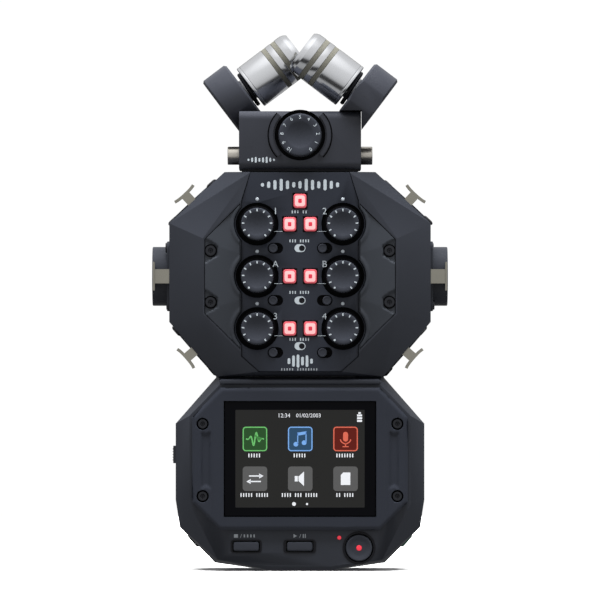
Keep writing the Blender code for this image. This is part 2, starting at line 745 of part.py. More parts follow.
def make_main_board(material):
    top = TOP_Z - WALL - BOARD_EDGE
    outline = both_sides([
        (BOARD_HALF - BOARD_CORNER, top), (BOARD_HALF, top - BOARD_CORNER),
        (BOARD_HALF, SIDE_BOTTOM_Z - BOARD_HIP_DROP), (BOARD_NECK_HALF, NECK_Z + BOARD_NECK_RISE),
        (BOARD_NECK_HALF, NECK_Z - BOARD_NECK_DROP), (BOARD_LOWER_HALF, LOWER_TOP_Z),
        (BOARD_LOWER_HALF, LOWER_BOTTOM_Z - BOARD_FOOT),
        (BOARD_LOWER_HALF - BOARD_FOOT_INSET, TOE_Z + BOARD_FOOT),
    ])
    return finish(prism("main_board", outline, BOARD_FRONT, BOARD_FRONT + BOARD_THICK), material)


def make_xlr_jack(name, frame, material):
    """A flush socket: a flange over the hole, a barrel behind it and a core that carries the contacts."""
    floor = -JACK_DEPTH + JACK_FLOOR
    profile = [
        (0, -JACK_CORE_DROP), (JACK_CORE, -JACK_CORE_DROP), (JACK_CORE, floor), (JACK_MOUTH, floor),
        (JACK_MOUTH, JACK_LIP), (JACK_RADIUS - JACK_EDGE, JACK_LIP), (JACK_RADIUS, JACK_LIP - JACK_EDGE),
        (JACK_RADIUS, -JACK_FLANGE), (JACK_BARREL, -JACK_FLANGE),
        (JACK_BARREL, -JACK_DEPTH), (0, -JACK_DEPTH),
    ]
    return finish(turned(name, profile, FINE, frame), material)


def make_combo_jack(name, frame, material):
    """A socket that stands out of the side on a square flange, with a plug bore in its core."""
    floor = -JACK_DEPTH + JACK_FLOOR
    core_top = COMBO_RISE - JACK_CORE_DROP
    profile = [
        (0, floor), (COMBO_BORE, floor), (COMBO_BORE, core_top), (JACK_CORE, core_top),
        (JACK_CORE, floor + JACK_CORE_BASE), (JACK_MOUTH, floor + JACK_CORE_BASE), (JACK_MOUTH, COMBO_RISE),
        (JACK_RADIUS - JACK_EDGE, COMBO_RISE), (JACK_RADIUS, COMBO_RISE - JACK_EDGE),
        (JACK_RADIUS, -JACK_FLANGE), (JACK_BARREL, -JACK_FLANGE),
        (JACK_BARREL, -JACK_DEPTH), (0, -JACK_DEPTH),
    ]
    jack = turned(name, profile, FINE, frame)
    plate = block(f"{name}_plate", (-COMBO_PLATE_HEIGHT / 2, -COMBO_PLATE_DEPTH / 2, GAP),
                  (COMBO_PLATE_HEIGHT / 2, COMBO_PLATE_DEPTH / 2, GAP + COMBO_PLATE_THICK), frame)
    cut(plate, drum(f"{name}_plate_hole", JACK_RADIUS - COMBO_PLATE_OVERLAP, GAP - PAST,
                    GAP + COMBO_PLATE_THICK + PAST, FINE, frame))
    join(jack, plate)
    return finish(jack, material)


def make_latch(name, frame, stands_out, material):
    """A push plate on a stem that goes through the case wall beside the socket."""
    if stands_out:
        stem, wide = COMBO_LATCH_STEM_WIDTH, COMBO_LATCH_WIDTH
        deep, high = COMBO_LATCH_DEPTH, COMBO_LATCH_HEIGHT
    else:
        stem, wide = LATCH_STEM_WIDTH, LATCH_PLATE_WIDTH
        deep, high = LATCH_PLATE_DEPTH, LATCH_HEIGHT
    front = LATCH_STEM_DEPTH / 2
    frame = frame @ Matrix.Translation((0, (LATCH_Y - JACK_Y) * MM, 0))
    latch = block(name, (-wide / 2, -front, high - LATCH_PLATE_THICK), (wide / 2, deep - front, high), frame)
    join(latch, block(f"{name}_stem", (-stem / 2, -front, LATCH_ROOT),
                      (stem / 2, front, high - LATCH_PLATE_THICK / 2), frame))
    return finish(latch, material)


def make_battery(name, x, material):
    nub = CELL_LENGTH + CELL_NUB
    profile = [(0, nub), (CELL_NUB_RADIUS, nub), (CELL_NUB_RADIUS, CELL_LENGTH), (CELL_RADIUS, CELL_LENGTH),
               (CELL_RADIUS, 0), (0, 0)]
    where = Matrix.Translation((x * MM, CELL_Y * MM, CELL_BOTTOM_Z * MM))
    return finish(turned(name, profile, SMALL, where), material)


def make_doors_and_switch(case_material, switch_material):
    pivot = Matrix.Translation((0, (BACK - GAP) * MM, (DOOR_BOTTOM_Z + HINGE_INSET) * MM))
    door = block("battery_door", (-DOOR_HALF, GAP - DOOR_THICK, -HINGE_INSET),
                 (DOOR_HALF, GAP, DOOR_TOP_Z - DOOR_BOTTOM_Z - HINGE_INSET), pivot)
    finish(door, case_material)
    hinge_y = CARD_DOOR_Y + CARD_DOOR_DEPTH / 2 - HINGE_INSET
    pivot = Matrix.Translation(((LOWER_HALF - GAP) * MM, hinge_y * MM, CARD_DOOR_Z * MM))
    door = block("card_door", (GAP - CARD_DOOR_THICK, HINGE_INSET - CARD_DOOR_DEPTH, -CARD_DOOR_HEIGHT / 2),
                 (GAP, HINGE_INSET, CARD_DOOR_HEIGHT / 2), pivot)
    finish(door, case_material)
    where = Matrix.Translation((-LOWER_HALF * MM, SWITCH_Y * MM, SWITCH_Z * MM))
    switch = block("power_switch", (-SWITCH_RISE, -SWITCH_WIDTH / 2, -SWITCH_HEIGHT / 2),
                   (SWITCH_ROOT, SWITCH_WIDTH / 2, SWITCH_HEIGHT / 2), where)
    finish(switch, switch_material)


def make_capsule_case(material):
    """A hollow housing with a hollow plug under it, a bore for each release button and a knob well."""
    case = block("capsule_case", (-CAPSULE_HALF, -CAPSULE_DEPTH_HALF, CAPSULE_BOTTOM_Z),
                 (CAPSULE_HALF, CAPSULE_DEPTH_HALF, CAPSULE_TOP_Z))
    bevel(case, CAPSULE_ROUND, 2)
    wide, deep = CAPSULE_HALF - CAPSULE_WALL, CAPSULE_DEPTH_HALF - CAPSULE_WALL
    cut(case, block("capsule_hollow", (-wide, -deep, CAPSULE_BOTTOM_Z + CAPSULE_WALL),
                    (wide, deep, CAPSULE_TOP_Z - CAPSULE_WALL)))
    half_wide, half_deep, low = PLUG_WIDTH / 2, PLUG_DEPTH / 2, CAPSULE_BOTTOM_Z - PLUG_LENGTH
    join(case, block("capsule_plug", (-half_wide, PLUG_Y - half_deep, low),
                     (half_wide, PLUG_Y + half_deep, CAPSULE_BOTTOM_Z + CAPSULE_WALL / 2)))
    half_wide, half_deep = half_wide - PLUG_WALL, half_deep - PLUG_WALL
    cut(case, block("plug_bore", (-half_wide, PLUG_Y - half_deep, low - PAST),
                    (half_wide, PLUG_Y + half_deep, CAPSULE_BOTTOM_Z + CAPSULE_WALL + PAST)))
    floor, front, where = CAPSULE_DEPTH_HALF - VOLUME_WELL_DEPTH, CAPSULE_DEPTH_HALF + PAST, on_front(0, VOLUME_Z)
    cut(case, drum("volume_well", VOLUME_WELL, floor, front, FINE, where))
    cut(case, drum("volume_shaft_hole", SHAFT_RADIUS + SLIDE_GAP, deep - PAST, front, SMALL, where))
    for side in (-1, 1):
        cut(case, drum(f"release_bore_{side}", RELEASE_RADIUS + SLIDE_GAP, -CAPSULE_WALL - PAST, PAST, MEDIUM,
                       on_side(side * CAPSULE_HALF, RELEASE_Z, (side, 0))))
    return finish(case, material)


def make_volume_knob(material):
    bottom = CAPSULE_DEPTH_HALF - VOLUME_WELL_DEPTH + GAP
    top = bottom + VOLUME_HEIGHT
    root = CAPSULE_DEPTH_HALF - CAPSULE_WALL - VOLUME_ROOT
    profile = [
        (0, top - KNOB_DISH_DEPTH), (VOLUME_DISH - KNOB_DISH_SLOPE, top - KNOB_DISH_DEPTH), (VOLUME_DISH, top),
        (VOLUME_RADIUS - VOLUME_EDGE, top), (VOLUME_RADIUS, top - VOLUME_EDGE), (VOLUME_RADIUS, bottom),
        (SHAFT_RADIUS, bottom), (SHAFT_RADIUS, root), (0, root),
    ]
    return finish(turned("mic_volume_knob", profile, FINE, on_front(0, VOLUME_Z)), material)


def make_release_button(name, side, material):
    button = drum(name, RELEASE_RADIUS, -RELEASE_LENGTH + RELEASE_OUT, RELEASE_OUT, MEDIUM,
                  on_side(side * CAPSULE_HALF, RELEASE_Z, (side, 0)))
    return finish(bevel(button, RELEASE_ROUND), material)


def mic_frame(side):
    """A frame on the twist joint of a microphone, with Z along its barrel towards the front end."""
    along_barrel = (-side * math.cos(MIC_ELEVATION), math.sin(MIC_ELEVATION))
    y = -side * (MIC_RADIUS + MIC_APART / 2)
    x = side * MIC_BACK_X - along_barrel[0] * MIC_PIVOT_DEPTH
    return on_side(x, MIC_BACK_Z - along_barrel[1] * MIC_PIVOT_DEPTH, along_barrel, y)


def make_mic(word, side, barrel_material, element_material):
    back, frame = MIC_PIVOT_DEPTH, mic_frame(side)
    inner, front = MIC_RADIUS - MIC_WALL, back + MIC_LENGTH
    profile = [
        (0, back + MIC_BACK_THICK), (inner, back + MIC_BACK_THICK), (inner, front),
        (MIC_RADIUS - MIC_EDGE, front), (MIC_RADIUS, front - MIC_EDGE),
        (MIC_RADIUS, back + MIC_EDGE), (MIC_RADIUS - MIC_EDGE, back),
        (MIC_PIN_RADIUS, back), (MIC_PIN_RADIUS, back - MIC_PIN_LENGTH), (0, back - MIC_PIN_LENGTH),
    ]
    finish(turned(f"mic_barrel_{word}", profile, FINE, frame), barrel_material)
    top = front - ELEMENT_DROP
    element = drum(f"mic_element_{word}", inner - GAP, top - ELEMENT_LENGTH, top, MEDIUM, frame)
    finish(element, element_material)


def make_arm(word, side, material):
    """A round head behind each microphone, cut off where it meets the housing."""
    top = MIC_PIVOT_DEPTH - ARM_TO_MIC
    arm = drum(f"mic_arm_{word}", ARM_RADIUS, top - ARM_THICK, top, FINE, mic_frame(side))
    bevel(arm, ARM_ROUND)
    wide = ARM_RADIUS + PAST
    low, high = sorted((-side * ARM_FLAT, -side * wide))
    cut(arm, block(f"mic_arm_{word}_flat", (-wide, low, top - ARM_THICK - PAST), (wide, high, top + PAST),
                   mic_frame(side)))
    cut(arm, drum(f"mic_arm_{word}_bore", MIC_PIN_RADIUS + SLIDE_GAP, top - MIC_PIN_LENGTH, top + PAST,
                  MEDIUM, mic_frame(side)))
    deep = CAPSULE_DEPTH_HALF * 2
    cut(arm, block(f"mic_arm_{word}_seat", (-CAPSULE_HALF - GAP, -deep, CAPSULE_BOTTOM_Z),
                   (CAPSULE_HALF + GAP, deep, CAPSULE_TOP_Z + GAP)))
    return finish(arm, material)


def build():
    case = make_material("case_plastic", BLACK, 0.55, 0.0)
    trim = make_material("trim_plastic", CHARCOAL, 0.5, 0.0)
    knob = make_material("knob_rubber", KNOB_BLACK, 0.65, 0.0)
    nickel = make_material("nickel_plate", NICKEL, 0.3, 1.0)
    silver = make_material("satin_chrome", SILVER, 0.25, 1.0)
    lens = make_material("red_lens", RED_LENS, 0.35, 0.0)
    glass = make_material("screen_glass", GLASS_BLACK, 0.08, 0.0)
    board = make_material("circuit_board", BOARD_GREEN, 0.5, 0.0)
    cell = make_material("battery_can", CELL_GREY, 0.4, 0.8)

    make_front_case(case)
    make_rear_case(case)
    make_control_panel(trim)
    make_cheek("left_cheek_plate", -1, case)
    make_cheek("right_cheek_plate", 1, case)
    make_screen(trim, glass, board)
    make_main_board(board)
    for name, frame, stands_out in jack_frames():
        make_jack = make_combo_jack if stands_out else make_xlr_jack
        make_jack(name, frame, trim)
        make_latch(name.replace("jack", "latch"), frame, stands_out, nickel)
    for name, side, z, pad_end in CHANNELS:
        make_gain_knob(f"gain_knob_{name}", side * KNOB_X, z, knob)
        make_pad_switch(f"pad_switch_{name}", side * PAD_X + pad_end * PAD_TRAVEL / 2, z - PAD_DROP, knob)
    for name, x, z in track_places():
        make_track_button(name, x, z, lens)
    make_bar_button("stop_button", STOP_X, knob)
    make_bar_button("play_button", PLAY_X, knob)
    make_record_button(knob)
    for i in range(4):
        make_battery(f"battery_{i + 1}", (i - 1.5) * CELL_PITCH, cell)
    make_doors_and_switch(case, knob)
    make_capsule_case(case)
    make_volume_knob(knob)
    for word, side in (("left", -1), ("right", 1)):
        make_release_button(f"release_button_{word}", side, silver)
        make_arm(word, side, case)
        make_mic(word, side, silver, nickel)


clear_scene()
parts = new_collection("field_recorder")
cutters = new_collection("cutters")
build()
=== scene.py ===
import json
import math

import bmesh
import bpy
import numpy as np
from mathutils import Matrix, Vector


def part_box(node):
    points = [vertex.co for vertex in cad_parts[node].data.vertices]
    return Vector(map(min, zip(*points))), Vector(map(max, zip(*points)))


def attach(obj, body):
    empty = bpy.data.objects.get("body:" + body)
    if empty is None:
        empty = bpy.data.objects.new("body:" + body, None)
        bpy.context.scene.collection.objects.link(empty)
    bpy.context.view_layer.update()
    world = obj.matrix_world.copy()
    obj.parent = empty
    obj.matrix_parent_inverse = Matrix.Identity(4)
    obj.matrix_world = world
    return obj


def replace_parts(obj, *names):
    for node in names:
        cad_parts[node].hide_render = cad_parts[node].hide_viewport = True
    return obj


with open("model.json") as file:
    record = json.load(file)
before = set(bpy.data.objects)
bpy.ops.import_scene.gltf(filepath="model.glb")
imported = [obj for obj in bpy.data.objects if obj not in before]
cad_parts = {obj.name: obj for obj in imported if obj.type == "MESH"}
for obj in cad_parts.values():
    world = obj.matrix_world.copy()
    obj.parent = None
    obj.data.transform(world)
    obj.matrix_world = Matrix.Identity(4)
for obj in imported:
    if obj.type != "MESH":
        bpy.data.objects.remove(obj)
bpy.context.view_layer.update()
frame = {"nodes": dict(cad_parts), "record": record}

mm = 0.001
nodeOf = frame["nodes"]
record = frame["record"]
bodyOf = {node: body for body, nodes in record["behaviour"]["bodies"].items() for node in nodes}
channels = ("1", "2", "a", "b", "3", "4")


# every shape is a pair: its points in millimetres, and its faces

def ringFaces(rows, cols):  # quads between neighbouring rows, where every row closes into a ring
    i, j = np.meshgrid(np.arange(rows - 1), np.arange(cols), indexing="ij")
    k = (j + 1) % cols
    quads = [i * cols + j, i * cols + k, (i + 1) * cols + k, (i + 1) * cols + j]
    return np.stack(quads, -1).reshape(-1, 4).tolist()


def lathe(profile, steps=72, grip=None):
    # every (radius, height) point goes round the axis; a grip lets the radius ripple with the angle
    radius, height = np.array(profile, float).T
    turn = np.linspace(0, 2 * np.pi, steps, endpoint=False)
    rim = np.repeat(radius[:, None], steps, 1)
    if grip:
        inside = (height > grip["low"]) & (height < grip["high"])
        rim -= inside[:, None] * grip["depth"] * (0.5 + 0.5 * np.cos(grip["count"] * turn))
    tall = np.repeat(height[:, None], steps, 1)
    points = np.stack([rim * np.cos(turn), rim * np.sin(turn), tall], -1).reshape(-1, 3)
    return points, ringFaces(len(radius), steps)


def soften(points, reach, count=4):
    # each inner corner becomes a quadratic curve that starts and ends within reach of it
    points = np.array(points, float)
    share = np.linspace(0, 1, count + 1)[:, None]
    result = [points[:1]]
    for before, here, after in zip(points, points[1:], points[2:]):
        start = here + (before - here) * min(0.48, reach / (np.linalg.norm(before - here) + 1e-9))
        end = here + (after - here) * min(0.48, reach / (np.linalg.norm(after - here) + 1e-9))
        result.append((1 - share) ** 2 * start + 2 * share * (1 - share) * here + share ** 2 * end)
    return np.vstack(result + [points[-1:]])


def roundRect(width, height, corner, count=6):
    # four quarter circles, one at each corner, joined by straight sides
    corner = min(corner, width / 2, height / 2)
    arc = np.linspace(0, np.pi / 2, count + 1)
    quarters = []
    for quarter, (sx, sy) in enumerate(((1, 1), (-1, 1), (-1, -1), (1, -1))):
        turn = arc + quarter * np.pi / 2
        quarters.append(np.stack([sx * (width / 2 - corner) + corner * np.cos(turn),
                                  sy * (height / 2 - corner) + corner * np.sin(turn)], -1))
    return np.vstack(quarters)


def pad(width, height, corner, rows, count=6):
    # a rounded rectangle at each (inset, height) row, closed by a flat cap at both ends
    cols = 4 * (count + 1)
    rings = [np.c_[roundRect(width - 2 * inset, height - 2 * inset, max(corner - inset, 0.02), count),
                   np.full(cols, high)] for inset, high in rows]
    faces = ringFaces(len(rows), cols)
    faces += [list(range(cols)), list(range((len(rows) - 1) * cols, len(rows) * cols))]
    return np.vstack(rings), faces


def roundedRows(low, high, rounding, count=4):
    # straight side, then a quarter circle onto the top
    turn = np.linspace(0, np.pi / 2, count + 1)
    return [(0, low)] + list(zip(rounding * (1 - np.cos(turn)), high - rounding + rounding * np.sin(turn)))


def plate(outline, low, high):
    # a flat outline carried from low to high
    outline = np.array(outline, float)
    count = len(outline)
    points = np.vstack([np.c_[outline, np.full(count, low)], np.c_[outline, np.full(count, high)]])
    return points, ringFaces(2, count) + [list(range(count)), list(range(count, 2 * count))]


def stroke(path, width, low=0.0, high=0.03):
    # a line of even width: the path moved to both sides along its normals
    path = np.array(path, float)
    step = np.gradient(path, axis=0)
    normal = np.stack([-step[:, 1], step[:, 0]], -1) / np.linalg.norm(step, axis=1)[:, None]
    return plate(np.vstack([path + normal * width / 2, (path - normal * width / 2)[::-1]]), low, high)


def flatBand(first, second, low, high):
    # a flat ring between two outlines with the same count of points
    rings = ((first, low), (second, low), (second, high), (first, high), (first, low))
    return np.vstack([np.c_[edge, np.full(len(edge), tall)] for edge, tall in rings]), ringFaces(5,
                                                                                                 len(first))


def arc(radius, start, end, count=24, centre=(0, 0)):
    turn = np.radians(np.linspace(start, end, count))
    return np.stack([centre[0] + radius * np.cos(turn), centre[1] + radius * np.sin(turn)], -1)


def disc(radius, low, high, centre=(0, 0), steps=32):
    return plate(arc(radius, 0, 360 * (1 - 1 / steps), steps, centre), low, high)


def box(low, high):
    (x0, y0, z0), (x1, y1, z1) = low, high
    return plate([(x0, y0), (x1, y0), (x1, y1), (x0, y1)], z0, z1)


def moved(shape, dx=0.0, dy=0.0, dz=0.0, turn=0.0):
    # the shape turned by an angle in degrees about its own Z, then moved
    points, faces = shape
    c, s = math.cos(math.radians(turn)), math.sin(math.radians(turn))
    points = np.array(points) @ np.array([[c, s, 0], [-s, c, 0], [0, 0, 1]]) + (dx, dy, dz)
    return points, faces


def lettering(text, size, thick=0.03):
    curve = bpy.data.curves.new("lettering", "FONT")
    curve.body, curve.size, curve.extrude, curve.resolution_u = text, size, thick / 2, 3
    curve.align_x, curve.align_y = "CENTER", "CENTER"
    holder = bpy.data.objects.new("lettering", curve)
    bpy.context.scene.collection.objects.link(holder)
    graph = bpy.context.evaluated_depsgraph_get()
    mesh = bpy.data.meshes.new_from_object(holder.evaluated_get(graph))
    points = np.empty(len(mesh.vertices) * 3, np.float32)
    mesh.vertices.foreach_get("co", points)
    faces = [list(polygon.vertices) for polygon in mesh.polygons]
    bpy.data.objects.remove(holder)
    return points.reshape(-1, 3).astype(float) + (0, 0, thick / 2), faces


def greeked(width, height, words=(3, 4), thick=0.03):
    # a line of small blocks that stands for a printed word or two
    count = sum(words) + len(words) - 1
    pitch = width / count
    shapes, x = [], -width / 2
    for word in words:
        for _ in range(word):
            shapes.append(box((x, -height / 2, 0), (x + pitch * 0.42, height / 2, thick)))
            x += pitch
        x += pitch
    return shapes


# from shapes in millimetres to pieces in the frame

def frameAt(origin, out=(0, -1, 0), side=(1, 0, 0)):
    # a frame in metres whose Z is out and whose X is side
    where = np.eye(4)
    out = np.array(out, float) / np.linalg.norm(out)
    side = np.array(side, float) - np.dot(side, out) * out
    side /= np.linalg.norm(side)
    where[:3, 0], where[:3, 1], where[:3, 2], where[:3, 3] = side, np.cross(out, side), out, origin
    return where


def at(where, *shapes):
    return [(np.array(points) * mm @ where[:3, :3].T + where[:3, 3], faces) for points, faces in shapes]


def ends(node):
    low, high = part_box(node)
    return np.array(low), np.array(high)


def middle(node, y=None):
    # centre of a node's box, moved to the given depth when there is one
    low, high = ends(node)
    centre = (low + high) / 2
    if y is not None:
        centre[1] = y
    return centre


def makeMesh(name, placed):
    points, faces, base = [], [], 0
    for shapePoints, shapeFaces in placed:
        points.append(shapePoints)
        faces += [[base + v for v in face] for face in shapeFaces]
        base += len(shapePoints)
    mesh = bpy.data.meshes.new(name)
    mesh.from_pydata(np.vstack(points).tolist(), [], faces)
    bm = bmesh.new()
    bm.from_mesh(mesh)
    bmesh.ops.remove_doubles(bm, verts=bm.verts, dist=2e-6)
    bmesh.ops.recalc_face_normals(bm, faces=bm.faces)
    bm.to_mesh(mesh)
    bm.free()
    return mesh


def addPiece(name, mesh, material, body, smooth=35):
    mesh.materials.clear()
    mesh.materials.append(material)
    mesh.shade_smooth()
    mesh.set_sharp_from_angle(angle=math.radians(smooth))
    piece = bpy.data.objects.new(name, mesh)
    bpy.context.scene.collection.objects.link(piece)
    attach(piece, body)
    return piece


def makePiece(name, placed, material, body, smooth=35):
    return addPiece(name, makeMesh(name, placed), material, body, smooth)


def standsFor(piece, node):
    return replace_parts(piece, node)


def cadMesh(node):
    # the node's own mesh with its loose triangles joined up
    bm = bmesh.new()
    bm.from_mesh(nodeOf[node].data)
    bmesh.ops.remove_doubles(bm, verts=bm.verts, dist=1e-6)
    mesh = bpy.data.meshes.new(node + "Copy")
    bm.to_mesh(mesh)
    bm.free()
    return mesh


def carved(mesh, tools):
    # the mesh with each tool shape taken out of it
    target = bpy.data.objects.new("carved", mesh)
    bpy.context.scene.collection.objects.link(target)
    cutters = []
    for i, tool in enumerate(tools):
        cutter = bpy.data.objects.new(f"tool{i}", makeMesh(f"tool{i}", tool))
        bpy.context.scene.collection.objects.link(cutter)
        cut = target.modifiers.new("cut", "BOOLEAN")
        cut.operation, cut.object = "DIFFERENCE", cutter
        cutters.append(cutter)
    result = bpy.data.meshes.new_from_object(target.evaluated_get(bpy.context.evaluated_depsgraph_get()))
    for spare in cutters + [target]:
        bpy.data.objects.remove(spare)
    return result


def softEdges(piece, rounding, longEdge=6.0, smallShare=0.35, segments=3, clamp=False):
    # long edges get the full rounding and short ones a share of it
    bm = bmesh.new()
    bm.from_mesh(piece.data)
    weight = bm.edges.layers.float.new("bevel_weight_edge")
    for edge in bm.edges:
        if len(edge.link_faces) == 2 and edge.calc_face_angle(0) > math.radians(18):
            edge[weight] = 1.0 if edge.calc_length() > longEdge * mm else smallShare
    bm.to_mesh(piece.data)
    bm.free()
    bevel = piece.modifiers.new("soft edges", "BEVEL")
    bevel.width, bevel.segments, bevel.limit_method = rounding * mm, segments, "WEIGHT"
    bevel.use_clamp_overlap, bevel.harden_normals = clamp, True
    return piece


def refined(name, node, material, rounding, tools=(), **edges):
    # the node's own mesh with softened edges, and then with the tool shapes taken out of it
    piece = addPiece(name, cadMesh(node), material, bodyOf[node], 30)
    softEdges(piece, rounding, **edges)
    if tools:
        soft = bpy.data.meshes.new_from_object(piece.evaluated_get(bpy.context.evaluated_depsgraph_get()))
        piece.modifiers.clear()
        piece.data = carved(soft, tools)
        piece.data.shade_smooth()
        piece.data.set_sharp_from_angle(angle=math.radians(30))
        piece.modifiers.new("flat faces", "WEIGHTED_NORMAL").keep_sharp = True
    return standsFor(piece, node)


def embossed(name, node, material, step, rise, tools=()):
    # the node's front face is sliced into a fine grid, and each of its points moves out by rise(x, z)
    bm = bmesh.new()
    bm.from_mesh(cadMesh(node))
    low, high = ends(node)
    for axis in (0, 2):
        normal = tuple(float(axis == k) for k in range(3))
        for place in np.arange(low[axis] + step * mm / 2, high[axis], step * mm):
            spot = tuple(place if axis == k else 0.0 for k in range(3))
            bmesh.ops.bisect_plane(bm, geom=bm.verts[:] + bm.edges[:] + bm.faces[:], dist=1e-7,
                                   plane_co=spot, plane_no=normal)
    mesh = bpy.data.meshes.new(name)
    bm.to_mesh(mesh)
    bm.free()
    points = np.empty(len(mesh.vertices) * 3, np.float32)
    mesh.vertices.foreach_get("co", points)
    points = points.reshape(-1, 3)
    front = points[:, 1] < low[1] + 0.05 * mm
    points[front, 1] -= rise(points[front, 0] / mm, points[front, 2] / mm) * mm
    mesh.vertices.foreach_set("co", points.ravel())
    if tools:
        mesh = carved(mesh, tools)
    piece = addPiece(name, mesh, material, bodyOf[node], 24)
    return standsFor(piece, node)


# one procedural material for each look

def surface(name, look):
    # cloudy colour, uneven roughness and a fine grain in the bump, all from the object's own coordinates
    material = bpy.data.materials.new(name)
    material.use_nodes = True
    nodes, links = material.node_tree.nodes, material.node_tree.links
    shader = nodes["Principled BSDF"]
    place = nodes.new("ShaderNodeTexCoord").outputs["Object"]
    if "stretch" in look:
        mapping = nodes.new("ShaderNodeMapping")
        mapping.inputs["Rotation"].default_value = look["turn"]
        mapping.inputs["Scale"].default_value = look["stretch"]
        links.new(place, mapping.inputs["Vector"])
        grainPlace = mapping.outputs["Vector"]
    else:
        grainPlace = place

    def noise(source, scale, detail):
        texture = nodes.new("ShaderNodeTexNoise")
        texture.inputs["Scale"].default_value = scale
        texture.inputs["Detail"].default_value = detail
        links.new(source, texture.inputs["Vector"])
        return texture.outputs["Fac"]

    cloud = noise(place, look.get("cloud", 45), 3)
    grain = noise(grainPlace, look.get("grain", 2600), 2)
    mix = nodes.new("ShaderNodeMix")
    mix.data_type = "RGBA"
    colour, spread = np.array(look["colour"]), look.get("spread", 0.12)
    mix.inputs[6].default_value = (*(colour * (1 - spread)), 1)
    mix.inputs[7].default_value = (*(colour * (1 + spread)), 1)
    links.new(cloud, mix.inputs[0])
    links.new(mix.outputs[2], shader.inputs["Base Color"])
    rough = nodes.new("ShaderNodeMapRange")
    rough.inputs["To Min"].default_value = look["rough"] - look.get("uneven", 0.06)
    rough.inputs["To Max"].default_value = look["rough"] + look.get("uneven", 0.06)
    links.new(noise(place, look.get("smudge", 130), 4), rough.inputs["Value"])
    links.new(rough.outputs["Result"], shader.inputs["Roughness"])
    bump = nodes.new("ShaderNodeBump")
    bump.inputs["Strength"].default_value = look.get("bump", 0.25)
    bump.inputs["Distance"].default_value = look.get("depth", 0.03) * mm
    links.new(grain, bump.inputs["Height"])
    links.new(bump.outputs["Normal"], shader.inputs["Normal"])
    shader.inputs["Metallic"].default_value = look.get("metal", 0.0)
    shader.inputs["Coat Weight"].default_value = look.get("coat", 0.0)
    shader.inputs["Specular IOR Level"].default_value = look.get("gloss", 0.5)
    if "glow" in look:
        links.new(mix.outputs[2], shader.inputs["Emission Color"])
        shader.inputs["Emission Strength"].default_value = look["glow"]
    return material


